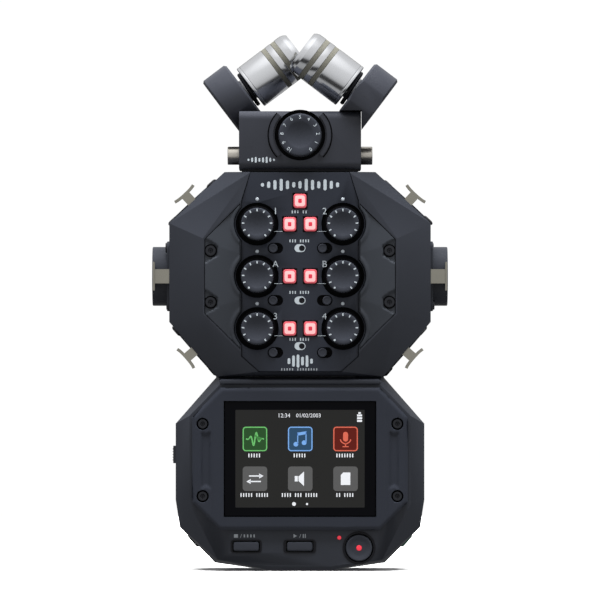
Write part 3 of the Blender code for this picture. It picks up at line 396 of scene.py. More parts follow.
looks = {
    "casePlastic": dict(colour=(0.0180, 0.0202, 0.0265), rough=0.50, gloss=0.22, bump=0.35, depth=0.035,
                        grain=2400),
    "cheekPlastic": dict(colour=(0.0230, 0.0262, 0.0325), rough=0.48, gloss=0.22, bump=0.35, depth=0.035,
                         grain=2400),
    "panelPlastic": dict(colour=(0.0145, 0.0170, 0.0245), rough=0.52, gloss=0.22, bump=0.22, depth=0.025,
                         grain=3000),
    "capsulePlastic": dict(colour=(0.0205, 0.0222, 0.0285), rough=0.45, gloss=0.22, bump=0.25, depth=0.03,
                           grain=2600),
    "knobPlastic": dict(colour=(0.0200, 0.0225, 0.0300), rough=0.42, gloss=0.22, bump=0.2, depth=0.02,
                        grain=3200),
    "blackPlastic": dict(colour=(0.004, 0.0042, 0.006), rough=0.5, gloss=0.15, bump=0.2, depth=0.02,
                         grain=3000),
    # painted shade: a near-black laid into wells, recesses, grooves, the case seam and screw cups, standing for the
    # shade in them
    "deepBlack": dict(colour=(0.0015, 0.0016, 0.002), rough=0.7, gloss=0.05, bump=0.2, depth=0.02,
                      grain=3000),
    "buttonPlastic": dict(colour=(0.0240, 0.0258, 0.0315), rough=0.5, gloss=0.22, bump=0.2, depth=0.02,
                          grain=3000),
    "socketPlastic": dict(colour=(0.0150, 0.0168, 0.0220), rough=0.5, gloss=0.22, bump=0.3, depth=0.03,
                          grain=2200),
    "screwBlack": dict(colour=(0.020, 0.021, 0.025), rough=0.3, metal=0.8, bump=0.2, depth=0.015),
    "printPaint": dict(colour=(0.36, 0.40, 0.43), rough=0.6, bump=0.3, depth=0.01, spread=0.06),
    "dullPaint": dict(colour=(0.22, 0.24, 0.26), rough=0.6, bump=0.3, depth=0.01, spread=0.06),
    "nickel": dict(colour=(0.42, 0.40, 0.36), rough=0.28, metal=1.0, uneven=0.1, bump=0.15, depth=0.01),
    "latchSteel": dict(colour=(0.26, 0.25, 0.215), rough=0.3, metal=1.0, uneven=0.08, bump=0.2, depth=0.01),
    "contactBrass": dict(colour=(0.55, 0.40, 0.18), rough=0.3, metal=1.0, uneven=0.1),
    "coverGlass": dict(colour=(0.0006, 0.0007, 0.0014), rough=0.08, uneven=0.02, bump=0.02, gloss=0.05,
                       spread=0.2),
    # the board's own near-black coat, made this dark so that it also paints the shade where the board shows through
    # the gap at the neck
    "boardCoat": dict(colour=(0.003, 0.007, 0.005), rough=0.45, bump=0.5, depth=0.2, grain=500,
                      spread=0.35),
    "cellSleeve": dict(colour=(0.05, 0.05, 0.055), rough=0.35, metal=0.3, uneven=0.08),
    "greenRing": dict(colour=(0.006, 0.055, 0.032), rough=0.4, bump=0.2),
    "lensEdge": dict(colour=(0.37, 0.060, 0.075), rough=0.4, glow=0.75, gloss=0.2, spread=0.08),
    "lensGlow": dict(colour=(0.60, 0.30, 0.30), rough=0.4, glow=0.7, gloss=0.2, spread=0.05),
    "lensDot": dict(colour=(0.36, 0.020, 0.038), rough=0.4, glow=0.75, gloss=0.2, spread=0.05),
    "redLamp": dict(colour=(0.42, 0.016, 0.030), rough=0.3, glow=1.0, spread=0.05),
    "whiteLamp": dict(colour=(0.30, 0.33, 0.36), rough=0.3, glow=0.15, spread=0.05),
    "screenGround": dict(colour=(0.0075, 0.0075, 0.0072), rough=0.3, glow=1.0, gloss=0.1, spread=0.1),
    "screenWhite": dict(colour=(0.42, 0.43, 0.45), rough=0.3, glow=0.75, gloss=0.1, spread=0.04),
    "screenDim": dict(colour=(0.048, 0.048, 0.048), rough=0.3, glow=0.8, gloss=0.1, spread=0.05),
    "screenGreen": dict(colour=(0.075, 0.25, 0.075), rough=0.3, glow=0.8, gloss=0.1, spread=0.05),
    "screenDeepGreen": dict(colour=(0.010, 0.034, 0.010), rough=0.3, glow=0.9, gloss=0.1, spread=0.05),
    "screenBlue": dict(colour=(0.095, 0.20, 0.40), rough=0.3, glow=0.8, gloss=0.1, spread=0.05),
    "screenDeepBlue": dict(colour=(0.012, 0.032, 0.062), rough=0.3, glow=0.9, gloss=0.1, spread=0.05),
    "screenOrange": dict(colour=(0.34, 0.068, 0.042), rough=0.3, glow=0.8, gloss=0.1, spread=0.05),
    "screenDeepRed": dict(colour=(0.050, 0.005, 0.003), rough=0.3, glow=0.9, gloss=0.1, spread=0.05),
}
paint = {name: surface(name, look) for name, look in looks.items()}
# the swivel leans from the barrel, so a half turn spreads the pair
micAngle, twistAngle = math.radians(37), math.radians(33.25)
for word, side in (("left", -1), ("right", 1)):  # turned metal, with its fine lines round the barrel
    turn = dict(turn=(0, side * -micAngle, 0), stretch=(60, 1, 1), bump=0.25, depth=0.006, grain=60)
    paint["micMetal" + word] = surface("micMetal" + word, dict(
        colour=(0.56, 0.57, 0.59), rough=0.17, metal=1.0, uneven=0.015, spread=0.03, **turn))
    paint["micMesh" + word] = surface("micMesh" + word, dict(
        colour=(0.12, 0.117, 0.098), rough=0.6, metal=0.3, bump=0.6, depth=0.08, grain=2500))
print("materials", len(paint))


# the case with its cheeks, the screen frame and the back

def screwCup(where, radius, depth=1.0):
    return at(where, lathe([(0, -depth), (radius, -depth), (radius, 2), (0, 2)], 40))


def addScrew(name, where, radius, body="recorder", rise=0.0):
    # a socket-headed screw sitting at the bottom of its cup; its cross recess is painted shade, a thin black cross on
    # the head, and a ring of painted shade lies round the head in the cup
    top = rise - 0.25
    head = lathe(soften([(0, top - 0.35), (radius * 0.35, top - 0.35), (radius * 0.42, top),
                         (radius * 0.9, top),
                         (radius * 0.9, top - 0.9), (0, top - 0.9)], 0.15), 40)
    # painted shade: the cross recess is a thin black cross laid on the head
    cross = [box((-radius * 0.5, -0.16, top - 0.1), (radius * 0.5, 0.16, top + 0.01)),
             box((-0.16, -radius * 0.5, top - 0.1), (0.16, radius * 0.5, top + 0.01))]
    # painted shade: a near-black ring round the head at the bottom of the cup
    cupShade = lathe([(radius * 0.9, top - 0.9), (radius + 0.3, top - 0.9), (radius + 0.3, top - 0.6),
                  (radius * 0.9, top - 0.6),
                  (radius * 0.9, top - 0.9)], 40)
    makePiece(name + "Seat", at(where, cupShade), paint["deepBlack"], body)
    makePiece(name, at(where, head), paint["screwBlack"], body)
    makePiece(name + "Cross", at(where, *cross), paint["blackPlastic"], body)


cheek = dict(screwX=35.7, screwTop=127.7, screwBottom=107.1, slope=0.085, foldTop=130.0, foldBottom=104.8,
             middle=0.5, fall=1.1, wedge=-0.6, lip=0.5, lipWidth=2.2, well=8.8, pocket=33.0)
knobSpots = {name: middle("gain_knob_" + name) / mm for name in channels}


def cheekRise(x, z):
    # the middle stands proud and the plate falls away above and below the folds, with a lip at the wells
    x = np.abs(x)
    top = (z - cheek["foldTop"] + (35.0 - x) * 0.30) * cheek["slope"]
    bottom = (cheek["foldBottom"] - z + (35.0 - x) * 0.30) * cheek["slope"]
    rise = cheek["middle"] - np.clip(np.maximum(top, bottom), 0, cheek["fall"])
    reach = np.min([np.hypot(x - 17.1, z - spot[2]) for spot in knobSpots.values() if spot[0] > 0], axis=0)
    lip = np.clip(1 - (reach - cheek["well"]) / cheek["lipWidth"], 0, 1)
    rise = rise + cheek["lip"] * np.sin(np.pi * lip) * (lip < 1)
    wedge = [x > cheek["pocket"] + 1.6 * np.clip(np.abs(z - spot) - 1.9, 0, None)
             for spot in (cheek["screwTop"], cheek["screwBottom"])]
    return np.where(wedge[0] | wedge[1], np.minimum(rise, cheek["wedge"]), rise)


for word, side in (("left", -1), ("right", 1)):
    face = ends(f"{word}_cheek_plate")[0][1]
    spots = [frameAt((side * cheek["screwX"] * mm, face - cheek["wedge"] * mm, z * mm))
             for z in (cheek["screwTop"], cheek["screwBottom"])]
    embossed(word + "Cheek", f"{word}_cheek_plate", paint["cheekPlastic"], 0.5, cheekRise)
    for i, spot in enumerate(spots):
        addScrew(f"{word}CheekScrew{i + 1}", spot, 2.3, rise=0.95)

bezel = dict(screwX=38.9, screwTop=58.5, screwBottom=29.6, cup=2.45, centre=34.3, slotX=37.6, slotHalf=2.0,
             slotTop=54.6, slotBottom=33.4)


def bezelRise(x, z):
    # a raised middle with a bevelled edge, a shallow slot between the screws and a sloping outer border
    x = np.abs(x)
    rise = np.clip((bezel["centre"] + 0.8 - x) / 0.8, 0, 1) * 0.35
    cutTop = np.clip(bezel["slotTop"] - z + np.abs(x - bezel["slotX"]) * 0.6, 0, 1)
    cutBottom = np.clip(z - bezel["slotBottom"] + np.abs(x - bezel["slotX"]) * 0.6, 0, 1)
    across = np.clip((bezel["slotHalf"] - np.abs(x - bezel["slotX"])) / 0.7, 0, 1)
    rise = rise - 0.8 * across * np.minimum(cutTop, cutBottom)
    toEdge = np.minimum.reduce([43.1 - x, 73.0 - z, z - 16.1, (104.5 - x - z) / 1.41,
                                (z - x + 16.1) / 1.41])
    return rise - np.clip(1 - toEdge / 1.1, 0, 1) * 0.7


face = ends("screen_bezel")[0][1]
spots = [frameAt((side * bezel["screwX"] * mm, face, z * mm))
         for side in (-1, 1) for z in (bezel["screwTop"], bezel["screwBottom"])]
embossed("screenBezel", "screen_bezel", paint["panelPlastic"], 0.55, bezelRise,
         [screwCup(spot, bezel["cup"], 1.1) for spot in spots])
for i, spot in enumerate(spots):
    addScrew(f"bezelScrew{i + 1}", spot, 2.1, rise=-0.25)

rear = dict(bushRadius=6.4, bushHole=3.2, bushZ=118.0, slotCount=7, slotPitch=2.6, slotX=22.0,
            slotZ=142.0, slotLength=13.0)
backY = ends("rear_case")[1][1]
rearOut = dict(out=(0, 1, 0), side=(-1, 0, 0))
bushAt = frameAt((0, backY, rear["bushZ"] * mm), **rearOut)
slots = [at(frameAt((0, backY, rear["slotZ"] * mm), **rearOut),
            plate(roundRect(rear["slotLength"], 1.1, 0.54) + (rear["slotX"],
                                                              (i - 3) * rear["slotPitch"] * 0.8), -1.2, 2))
         for i in range(rear["slotCount"])]
refined("frontCase", "front_case", paint["casePlastic"], 0.8, clamp=True)
refined("rearCase", "rear_case", paint["casePlastic"], 0.9,
        [at(bushAt, lathe([(0, -1.6), (rear["bushHole"], -1.6), (rear["bushHole"], 2), (0, 2)],
                          40))] + slots)
bush = lathe(soften([(rear["bushHole"] - 0.1, -1.5), (rear["bushHole"] - 0.1, 0.05),
                     (rear["bushRadius"] - 1.4, 0.05),
                     (rear["bushRadius"] - 1.4, -0.4), (rear["bushHole"] + 0.6, -1.5),
                     (rear["bushHole"] - 0.1, -1.5)], 0.1), 64)
makePiece("tripodBush", at(bushAt, bush), paint["contactBrass"], "recorder")
for i, (x, z) in enumerate(((-34, 140), (34, 140), (-34, 96), (34, 96), (-38, 24), (38, 24))):
    addScrew(f"rearScrew{i + 1}", frameAt((x * mm, backY - 0.02 * mm, z * mm), **rearOut), 2.2, rise=0.1)
label = [pad(30, 14, 1.0, [(0, 0), (0, 0.04)])]
makePiece("rearLabel", at(frameAt((0, backY, 88 * mm), **rearOut), *label), paint["buttonPlastic"],
          "recorder")
lines = [moved(shape, dy=y, dz=0.04) for y in (4.2, 1.6, -1.0, -3.6)
         for shape in greeked(24, 1.1, (5, 7, 4, 6))]
makePiece("rearLabelPrint", at(frameAt((0, backY, 88 * mm), **rearOut), *lines), paint["dullPaint"],
          "recorder")

seam = dict(y=-1.6, half=1.3, thick=0.8, inset=1.3, corners=(
    ((0, 159.2), (30.2, 159.2)), ((30.2, 159.2), (34.2, 155.6)),
                                                             ((51.4, 139.6), (52.35, 138.7), (52.35, 134)),
    ((52.35, 101), (52.35, 99.2), (51.0, 97.6)), ((34.4, 78.6), (33.3, 77.3)),
    ((33.3, 77.3), (49.8, 58.5), (49.8, 28.0), (48.1, 17.0), (34.0, 2.8), (13.0, 0.0), (0, 0.0))))
strips = []
for path in seam["corners"]:
    for side in (-1, 1):
        line = np.array(path, float)
        centre = np.array([0, 118.0 if line[:, 1].min() > 77 else 42.0])
        line += (centre - line) / np.linalg.norm(centre - line, axis=1)[:, None] * seam["inset"] * 1.25
        strips.append(stroke(line * (side, 1), seam["thick"], seam["y"] - seam["half"],
                             seam["y"] + seam["half"]))
# painted shade: near-black strips inside the seam between the case halves stand for the shade in the gap
makePiece("seamGasket", at(frameAt((0, 0, 0)), *strips), paint["deepBlack"], "recorder")

ridge = dict(half=32.2, z=75.3, y=-17.6, tall=2.0, deep=1.6)
bar = pad(ridge["half"] * 2, ridge["tall"], 1.0, roundedRows(-2.0, ridge["deep"] * 0.5, 0.6))
makePiece("neckRidge", at(frameAt((0, ridge["y"] * mm, ridge["z"] * mm)), bar), paint["casePlastic"],
          "recorder")
print("case")


# the control panel with its prints, knobs, lit buttons and switches

refined("controlPanel", "control_panel", paint["panelPlastic"], 0.25, smallShare=0.3, segments=2,
        clamp=True)
panelY = ends("control_panel")[0][1]
panelAt = frameAt((0, panelY, 0))
rows = sorted({round(float(spot[2]), 3) for spot in knobSpots.values()}, reverse=True)
prints, dull = [], []
# the level bars
for i, tall in enumerate((1.5, 2.6, 3.8, 4.8, 3.4, 2.2, 3.0, 4.8, 4.0, 2.8, 4.4, 3.2, 2.0)):
    prints.append(moved(pad(1.25, tall, 0.6, [(0, 0), (0, 0.04)]), (i - 6) * 2.5, 154.0))
for name in channels:
    x, z = knobSpots[name][0], knobSpots[name][2]
    inner = x - math.copysign(7.3, x)
    prints.append(moved(lettering(name.upper(), 3.7), inner, z + (5.1 if name in "12" else 4.8)))
    prints.append(moved(box((-1.7, -0.08, 0), (1.7, 0.08, 0.03)), x - math.copysign(8.5, x), z - 2.9))
for z, words in ((rows[0] + 4.9, (3, 2)), (rows[0] - 6.7, (3, 4)), (rows[1] - 6.4, (3, 4)),
                 (rows[2] - 4.3, (3, 4))):
    prints += [moved(shape, 0, z) for shape in greeked(6.6 if words == (3, 2) else 8.4, 1.15, words)]
for z in (rows[0] - 9.6, rows[1] - 9.6, rows[2] - 7.0):  # the switch marks: a pill with one dark half
    prints.append(moved(plate(roundRect(4.4, 3.1, 1.55), 0, 0.03), 0, z))
    dull.append(moved(disc(1.15, 0.03, 0.06), 0.75, z))
# the lower emblem
for x, tall in ((-4.4, 2.4), (-2.6, 4.4), (-0.8, 5.2), (1.0, 3.4), (2.8, 4.6), (4.6, 2.0)):
    prints.append(moved(pad(1.1, tall, 0.5, [(0, 0), (0, 0.04)]), x, 83.6))
makePiece("panelPrints", at(panelAt, *prints), paint["printPaint"], "recorder")
makePiece("switchMarks", at(panelAt, *dull), paint["blackPlastic"], "recorder")
# painted shade: near-black rings on the floor of each knob well stand for the shade round the knobs
wellShade = [moved(lathe([(2.8, -1.19), (8.55, -1.19), (8.55, -0.1), (8.45, -0.1), (8.45, -1.1), (2.8, -1.1),
                      (2.8, -1.19)], 72),
               spot[0], spot[2]) for spot in knobSpots.values()]
makePiece("knobWells", at(panelAt, *wellShade), paint["deepBlack"], "recorder")
lamps = []
for name in channels:
    lamps.append(moved(lathe(soften([(0, 0.28), (0.5, 0.24), (0.72, 0.0), (0.72, -0.1), (0, -0.1)], 0.2),
                             24),
                       knobSpots[name][0], knobSpots[name][2] + 9.95))
makePiece("peakLamps", at(panelAt, *lamps), paint["whiteLamp"], "recorder")
small = [moved(shape, 0, 80.3) for shape in greeked(15, 0.9, (5, 8))]
makePiece("panelSmallPrint", at(panelAt, *small), paint["dullPaint"], "recorder")

knob = dict(cap=6.35, skirt=7.3, rim=0.55, dish=4.9, dishDeep=1.15, grips=40, gripDeep=0.16, tickRing=5.6,
            tickLong=1.0, tickWide=0.5, ticks=11, span=288)


def knobShape(low, high, cap, skirt, dish, dishDeep, grips, gripDeep, rim):
    # skirt, fluted side, rounded rim and a dish that is a shallow bowl
    bowl = [(dish * s, high - dishDeep * (1 - s ** 2)) for s in np.linspace(0, 1, 12)]
    side = [(cap - rim * 0.1, high), (cap, high - rim), (cap + 0.1, low + 1.5), (skirt - 0.2, low + 1.25),
            (skirt, low + 1.0), (skirt, low), (0, low)]
    profile = np.vstack([bowl, soften([bowl[-1]] + side, rim, 4)[1:]])
    return lathe(profile, 160, dict(low=low + 1.6, high=high - rim * 0.9, depth=gripDeep, count=grips))


for name in channels:
    node = "gain_knob_" + name
    low, high = ends(node)
    where = frameAt(middle(node, low[1]))
    bottom = -(panelY - low[1]) / mm - 0.9
    cap = knobShape(bottom, 0, knob["cap"], knob["skirt"], knob["dish"], knob["dishDeep"], knob["grips"],
                    knob["gripDeep"], knob["rim"])
    shaft = lathe([(0, bottom + 0.2), (2.6, bottom + 0.2), (2.6, bottom - 6), (0, bottom - 6)], 32)
    # painted shade: a near-black ring over the knob's skirt, deep in its well, stands for the shade there
    skirt = lathe([(knob["cap"] + 0.15, bottom + 0.9), (knob["skirt"] + 0.04, bottom + 0.9),
                   (knob["skirt"] + 0.04, bottom + 1.06),
                   (knob["skirt"] - 0.15, bottom + 1.32), (knob["cap"] + 0.15, bottom + 1.55),
                   (knob["cap"] + 0.15, bottom + 0.9)], 96)
    makePiece(f"gainKnob{name.upper()}SkirtShade", at(where, skirt), paint["deepBlack"], node,
              60)
    standsFor(makePiece("gainKnob" + name.upper(), at(where, cap, shaft), paint["knobPlastic"], node,
                        30), node)
    ticks = []
    for i in range(knob["ticks"]):
        angle = 90 + knob["span"] / 2 - knob["span"] * i / (knob["ticks"] - 1)
        mark = disc(0.42, -0.03, 0.04) if i == 0 else box(
            (-knob["tickLong"] / 2, -knob["tickWide"] / 2, -0.03),
                                                          (knob["tickLong"] / 2, knob["tickWide"] / 2,
                                                           0.04))
        ticks.append(moved(moved(mark, knob["tickRing"]), turn=angle))
    makePiece(f"gainKnob{name.upper()}Ticks", at(where, *ticks), paint["printPaint"], node)

track = dict(corner=1.1, rounding=0.5, glowWide=4.0, glowTall=4.3, dot=0.72)
for node in ["track_button_" + name for name in channels] + ["mic_in_button"]:
    low, high = ends(node)
    wide, tall = (high - low)[[0, 2]] / mm
    where = frameAt(middle(node, low[1]))
    word = node.replace("_button", "").replace("_", "")
    lens = pad(wide, tall, track["corner"], roundedRows(-(high - low)[1] / mm, 0, track["rounding"]))
    standsFor(makePiece(word + "Lens", at(where, lens), paint["lensEdge"], node), node)
    glow = pad(track["glowWide"], track["glowTall"], 0.9, [(0, -0.02), (0, 0.02), (0.25, 0.05)])
    makePiece(word + "Glow", at(where, glow), paint["lensGlow"], node)
    dot = pad(track["dot"] * 2, track["dot"] * 2.3, 0.35, [(0, 0.0), (0, 0.07), (0.1, 0.09)])
    makePiece(word + "Dot", at(where, dot), paint["lensDot"], node)

lever = dict(radius=1.8, rim=0.35)
for name in channels:
    node = "pad_switch_" + name
    low, high = ends(node)
    where = frameAt(middle(node, low[1]))
    deep = (high - low)[1] / mm
    top = lathe(soften([(0, -0.12), (1.0, -0.12), (1.25, 0), (lever["radius"], 0), (lever["radius"], -1.3),
                        (0, -1.3)],
                       lever["rim"]), 40)
    stem = box((-0.8, -0.8, -deep), (0.8, 0.8, -1.2))
    outer, inner = (roundRect(w, h, h / 2) for w, h in ((6.2, 4.3), (3.8, 1.9)))
    # painted shade: a near-black ring at the bottom of the switch recess stands for the shade in it
    pill = flatBand(outer, inner, -0.9, -0.84)
    slotX = math.copysign(9.85, where[0, 3])
    makePiece("padRecess" + name.upper(), at(frameAt((slotX * mm, panelY, where[2, 3])), pill),
              paint["deepBlack"],
              "recorder")
    corners, rim = roundRect(6.28, 4.38, 0.05), roundRect(6.2, 4.3, 2.15)
    border = flatBand(corners, rim, -0.7, -0.01)
    makePiece("padFrame" + name.upper(), at(frameAt((slotX * mm, panelY, where[2, 3])), border),
              paint["panelPlastic"],
              "recorder")
    standsFor(makePiece("padSwitch" + name.upper(), at(where, top, stem), paint["knobPlastic"], node), node)
print("control panel")


# the transport buttons, the small sockets, the doors and the cells

for node in ("stop_button", "play_button"):
    low, high = ends(node)
    wide, tall = (high - low)[[0, 2]] / mm
    cap = pad(wide, tall, 0.9, roundedRows(-(high - low)[1] / mm, 0, 0.55))
    standsFor(makePiece(node.replace("_b", "B"), at(frameAt(middle(node, low[1])), cap),
                        paint["knobPlastic"], node), node)
low, high = ends("record_button")
deep = (high - low)[1] / mm
recordAt = frameAt(middle("record_button", low[1]))
cap = lathe(soften([(0, -0.7), (3.0, -0.6), (4.7, 0), (5.1, 0), (5.3, -0.5), (5.3, -deep), (0, -deep)],
                   0.4), 72)
standsFor(makePiece("recordButton", at(recordAt, cap), paint["knobPlastic"], "record_button"),
          "record_button")
dot = lathe(soften([(0, -0.35), (0.9, -0.4), (1.15, -0.65), (1.15, -0.9), (0, -0.9)], 0.2), 32)
makePiece("recordDot", at(recordAt, dot), paint["redLamp"], "record_button")

lowerY = ends("screen_bezel")[1][1]
lowerAt = frameAt((0, lowerY, 0))
collar = lathe(soften([(5.7, -1.2), (5.7, 0.15), (6.5, 0.15), (6.7, -1.2), (5.7, -1.2)], 0.2), 72)
spot = middle("record_button") / mm
rings = [moved(collar, spot[0], spot[2])]
for node, wide in (("stop_button", 12.4), ("play_button", 13.0)):
    spot = middle(node) / mm
    inner, outer = roundRect(11.0, 4.4, 0.6), roundRect(wide, 5.4, 1.3)
    rings.append(moved(flatBand(outer, inner, -0.02, 0.02), spot[0], spot[2]))
makePiece("recordCollar", at(lowerAt, *rings), paint["blackPlastic"], "recorder", 50)
marks = [moved(box((-0.8, -0.7, 0), (0.8, 0.7, 0.04)), -25.6, 13.7),
         moved(box((-0.1, -0.8, 0), (0.1, 0.8, 0.04)), -23.6, 13.7, 0, -20)]
marks += [moved(shape, -19.9, 13.7) for shape in greeked(5.2, 1.2, (4,))]
marks += [plate([(-2.6, 12.9), (-1.2, 13.7), (-2.6, 14.5)], 0, 0.04),
          moved(box((-0.1, -0.8, 0), (0.1, 0.8, 0.04)), 0.1, 13.7, 0, -20),
          box((1.1, 12.9, 0), (1.5, 14.5, 0.04)), box((1.9, 12.9, 0), (2.3, 14.5, 0.04))]
makePiece("transportMarks", at(lowerAt, *marks), paint["dullPaint"], "recorder")
lamp = lathe(soften([(0, 0.15), (0.7, 0.1), (0.85, -0.2), (0, -0.2)], 0.15), 24)
makePiece("recordLamp", at(frameAt((15.7 * mm, lowerY, 13.0 * mm)), lamp), paint["redLamp"], "recorder")

toe = dict(x=42.6, z=11.5)
for word, side, ringPaint in (("line", -1, "blackPlastic"), ("phones", 1, "greenRing")):
    out = (side * 0.755, 0, -0.656)
    where = frameAt((side * toe["x"] * mm, 0.002, toe["z"] * mm), out, (0, 1, 0))
    ring = lathe(soften([(1.75, -0.6), (1.75, 0.5), (2.2, 0.95), (2.9, 0.95), (3.3, 0.2), (3.3, -0.6),
                         (1.75, -0.6)], 0.2), 48)
    makePiece(word + "JackRing", at(where, ring), paint[ringPaint], "recorder", 40)
    hole = lathe([(0, -0.55), (1.8, -0.55), (1.8, -0.62), (0, -0.62)], 32)
    makePiece(word + "JackHole", at(where, hole), paint["blackPlastic"], "recorder")

switchLow, switchHigh = ends("power_switch")
refined("powerSwitch", "power_switch", paint["buttonPlastic"], 0.45)
grips = [box((-1.6, y - 0.16, -0.05), (1.6, y + 0.16, 0.22)) for y in np.linspace(-2.2, 2.2, 5)]
where = frameAt((switchLow[0], (switchLow[1] + switchHigh[1]) / 2, (switchLow[2] + switchHigh[2]) / 2),
                (-1, 0, 0), (0, 1, 0))
makePiece("powerSwitchGrip", at(where, *grips), paint["buttonPlastic"], "power_switch")
refined("cardDoor", "card_door", paint["casePlastic"], 0.4)
doorHigh = ends("battery_door")[1]
refined("batteryDoor", "battery_door", paint["casePlastic"], 0.6)
ribs = [moved(pad(11 - i * 0.9, 0.9, 0.4, [(0, -0.05), (0, 0.25), (0.2, 0.4)]), 0, i * 1.9)
        for i in range(5)]
makePiece("batteryDoorGrip", at(frameAt((0, doorHigh[1], doorHigh[2] - 14 * mm), **rearOut), *ribs),
          paint["casePlastic"],
          "battery_door")

cell = dict(ends=0.6, sleeve=7.05, rounding=0.8)
for i in range(4):
    node = f"battery_{i + 1}"
    low, high = ends(node)
    where = frameAt(((low[0] + high[0]) / 2, (low[1] + high[1]) / 2, low[2]), (0, 0, 1))
    tall = (high - low)[2] / mm - 1.0
    sleeve = lathe(soften([(0, cell["ends"]), (5.6, cell["ends"]), (5.9, 0.1), (cell["sleeve"], 0.1),
                           (cell["sleeve"], tall),
                           (5.6, tall), (5.2, tall - 0.3), (0, tall - 0.3)], cell["rounding"]), 64)
    standsFor(makePiece(f"cellSleeve{i + 1}", at(where, sleeve), paint["cellSleeve"], "recorder"), node)
    nub = lathe(soften([(0, tall + 0.95), (2.4, tall + 0.95), (2.65, tall + 0.6), (2.65, tall - 0.4),
                        (0, tall - 0.4)], 0.2), 40)
    makePiece(f"cellTerminal{i + 1}", at(where, nub), paint["nickel"], "recorder")
    band = lathe([(cell["sleeve"] + 0.01, tall * 0.72), (cell["sleeve"] + 0.03, tall * 0.72),
                  (cell["sleeve"] + 0.03, tall * 0.97), (cell["sleeve"] + 0.01, tall * 0.97),
                  (cell["sleeve"] + 0.01, tall * 0.72)], 64)
    makePiece(f"cellBand{i + 1}", at(where, band), paint["contactBrass"], "recorder")
print("lower case")


# the screen and what it shows

refined("touchGlass", "touch_glass", paint["coverGlass"], 0.3)
screenAt = frameAt((0, ends("touch_glass")[0][1], 0))


def onScreen(name, look, *shapes):
    makePiece(name, at(screenAt, *shapes), paint[look], "recorder")


active = dict(width=51.6, height=39.0, z=44.6)
onScreen("screenArea", "screenGround",
         moved(pad(active["width"], active["height"], 0.3, [(0, -0.01), (0, 0.02)]), 0, active["z"]))
tile = dict(size=9.8, corner=1.3, edge=0.45, xs=(-18.0, 0.1, 18.2), upper=52.5, lower=36.6)
clock = [moved(lettering("12:34", 2.3), -6.4, 61.8, 0.03),
         moved(lettering("01/02/2003", 2.2), 3.4, 61.8, 0.03)]
battery = [moved(box((-1.0, y, 0.03), (1.0, y + 0.8, 0.06)), 23.8, 59.3) for y in (0, 1.1, 2.2)]
battery.append(moved(box((-0.5, 3.2, 0.03), (0.5, 3.9, 0.06)), 23.8, 59.3))
words = []
for x, z, parts in ((tile["xs"][0], 45.9, (5,)), (tile["xs"][1], 45.9, (5,)), (tile["xs"][2], 45.9, (7,)),
                    (tile["xs"][0], 30.1, (5, 5)), (tile["xs"][1], 30.1, (4, 3, 5)),
                    (tile["xs"][2], 30.1, (2, 4))):
    words += [moved(shape, x, z, 0.03) for shape in greeked(1.05 * (sum(parts) + len(parts) - 1), 1.5,
                                                            parts)]
dots = [disc(0.75, 0.03, 0.06, (-2.4, 26.5)), disc(0.45, 0.03, 0.06, (2.8, 26.5))]
onScreen("screenWords", "screenWhite", *clock, *battery, *words, *dots)
for i, (edge, fill) in enumerate((("screenGreen", "screenDeepGreen"), ("screenBlue", "screenDeepBlue"),
                                  ("screenOrange", "screenDeepRed"))):
    outer = pad(tile["size"], tile["size"], tile["corner"], [(0, 0.03), (0, 0.05)])
    inner = pad(tile["size"] - 2 * tile["edge"], tile["size"] - 2 * tile["edge"],
                tile["corner"] - tile["edge"], [(0, 0.05), (0, 0.07)])
    onScreen(f"tile{i}Edge", edge, moved(outer, tile["xs"][i], tile["upper"]))
    onScreen(f"tile{i}Fill", fill, moved(inner, tile["xs"][i], tile["upper"]))
onScreen("tilesGrey", "screenDim",
         *[moved(pad(tile["size"], tile["size"], tile["corner"], [(0, 0.03), (0, 0.06)]), x, tile["lower"])
                                     for x in tile["xs"]])
wave = np.linspace(-3.6, 3.6, 60)
swell = np.exp(-(wave / 1.7) ** 2) * np.sin(wave * 2.6) * 2.9  # a sine under a bell
onScreen("waveIcon", "screenGreen", moved(stroke(np.c_[wave, swell], 0.55, 0.07, 0.1), tile["xs"][0],
                                          tile["upper"]))
note = [disc(0.95, 0.07, 0.1, (-1.75, -2.1)), disc(0.95, 0.07, 0.1, (1.55, -1.5)),
        box((-1.2, -2.1, 0.07), (-0.8, 2.3, 0.1)),
        box((2.1, -1.5, 0.07), (2.5, 2.9, 0.1)), plate([(-1.2, 1.3), (2.5, 1.9), (2.5, 3.1), (-1.2, 2.5)],
                                                       0.07, 0.1)]
onScreen("noteIcon", "screenBlue", *[moved(shape, tile["xs"][1], tile["upper"]) for shape in note])
spoken = [plate(roundRect(2.0, 3.9, 1.0) + (0, 0.9), 0.07, 0.1),
          stroke(arc(2.1, 190, 350, 24, (0, 0.2)), 0.45, 0.07, 0.1),
          box((-0.22, -3.0, 0.07), (0.22, -1.8, 0.1)), box((-1.2, -3.3, 0.07), (1.2, -2.9, 0.1))]
onScreen("voiceIcon", "screenOrange", *[moved(shape, tile["xs"][2], tile["upper"]) for shape in spoken])
arrows = [shape for y, way in ((1.1, 1), (-1.1, -1)) for shape in (
    box((-2.4, y - 0.25, 0.06), (2.4, y + 0.25, 0.09)),
                                                                   plate([(way * 1.7, y - 1.0),
                                                                          (way * 3.4, y),
                                                                          (way * 1.7, y + 1.0)], 0.06,
                                                                         0.09))]
speaker = [box((-2.2, -1.1, 0.06), (-1.0, 1.1, 0.09)),
           plate([(-0.7, -0.9), (1.5, -2.9), (1.5, 2.9), (-0.7, 0.9)], 0.06, 0.09)]
card = [plate([(-1.9, -2.5), (1.9, -2.5), (1.9, 2.5), (-0.9, 2.5), (-1.9, 1.5)], 0.06, 0.09)]
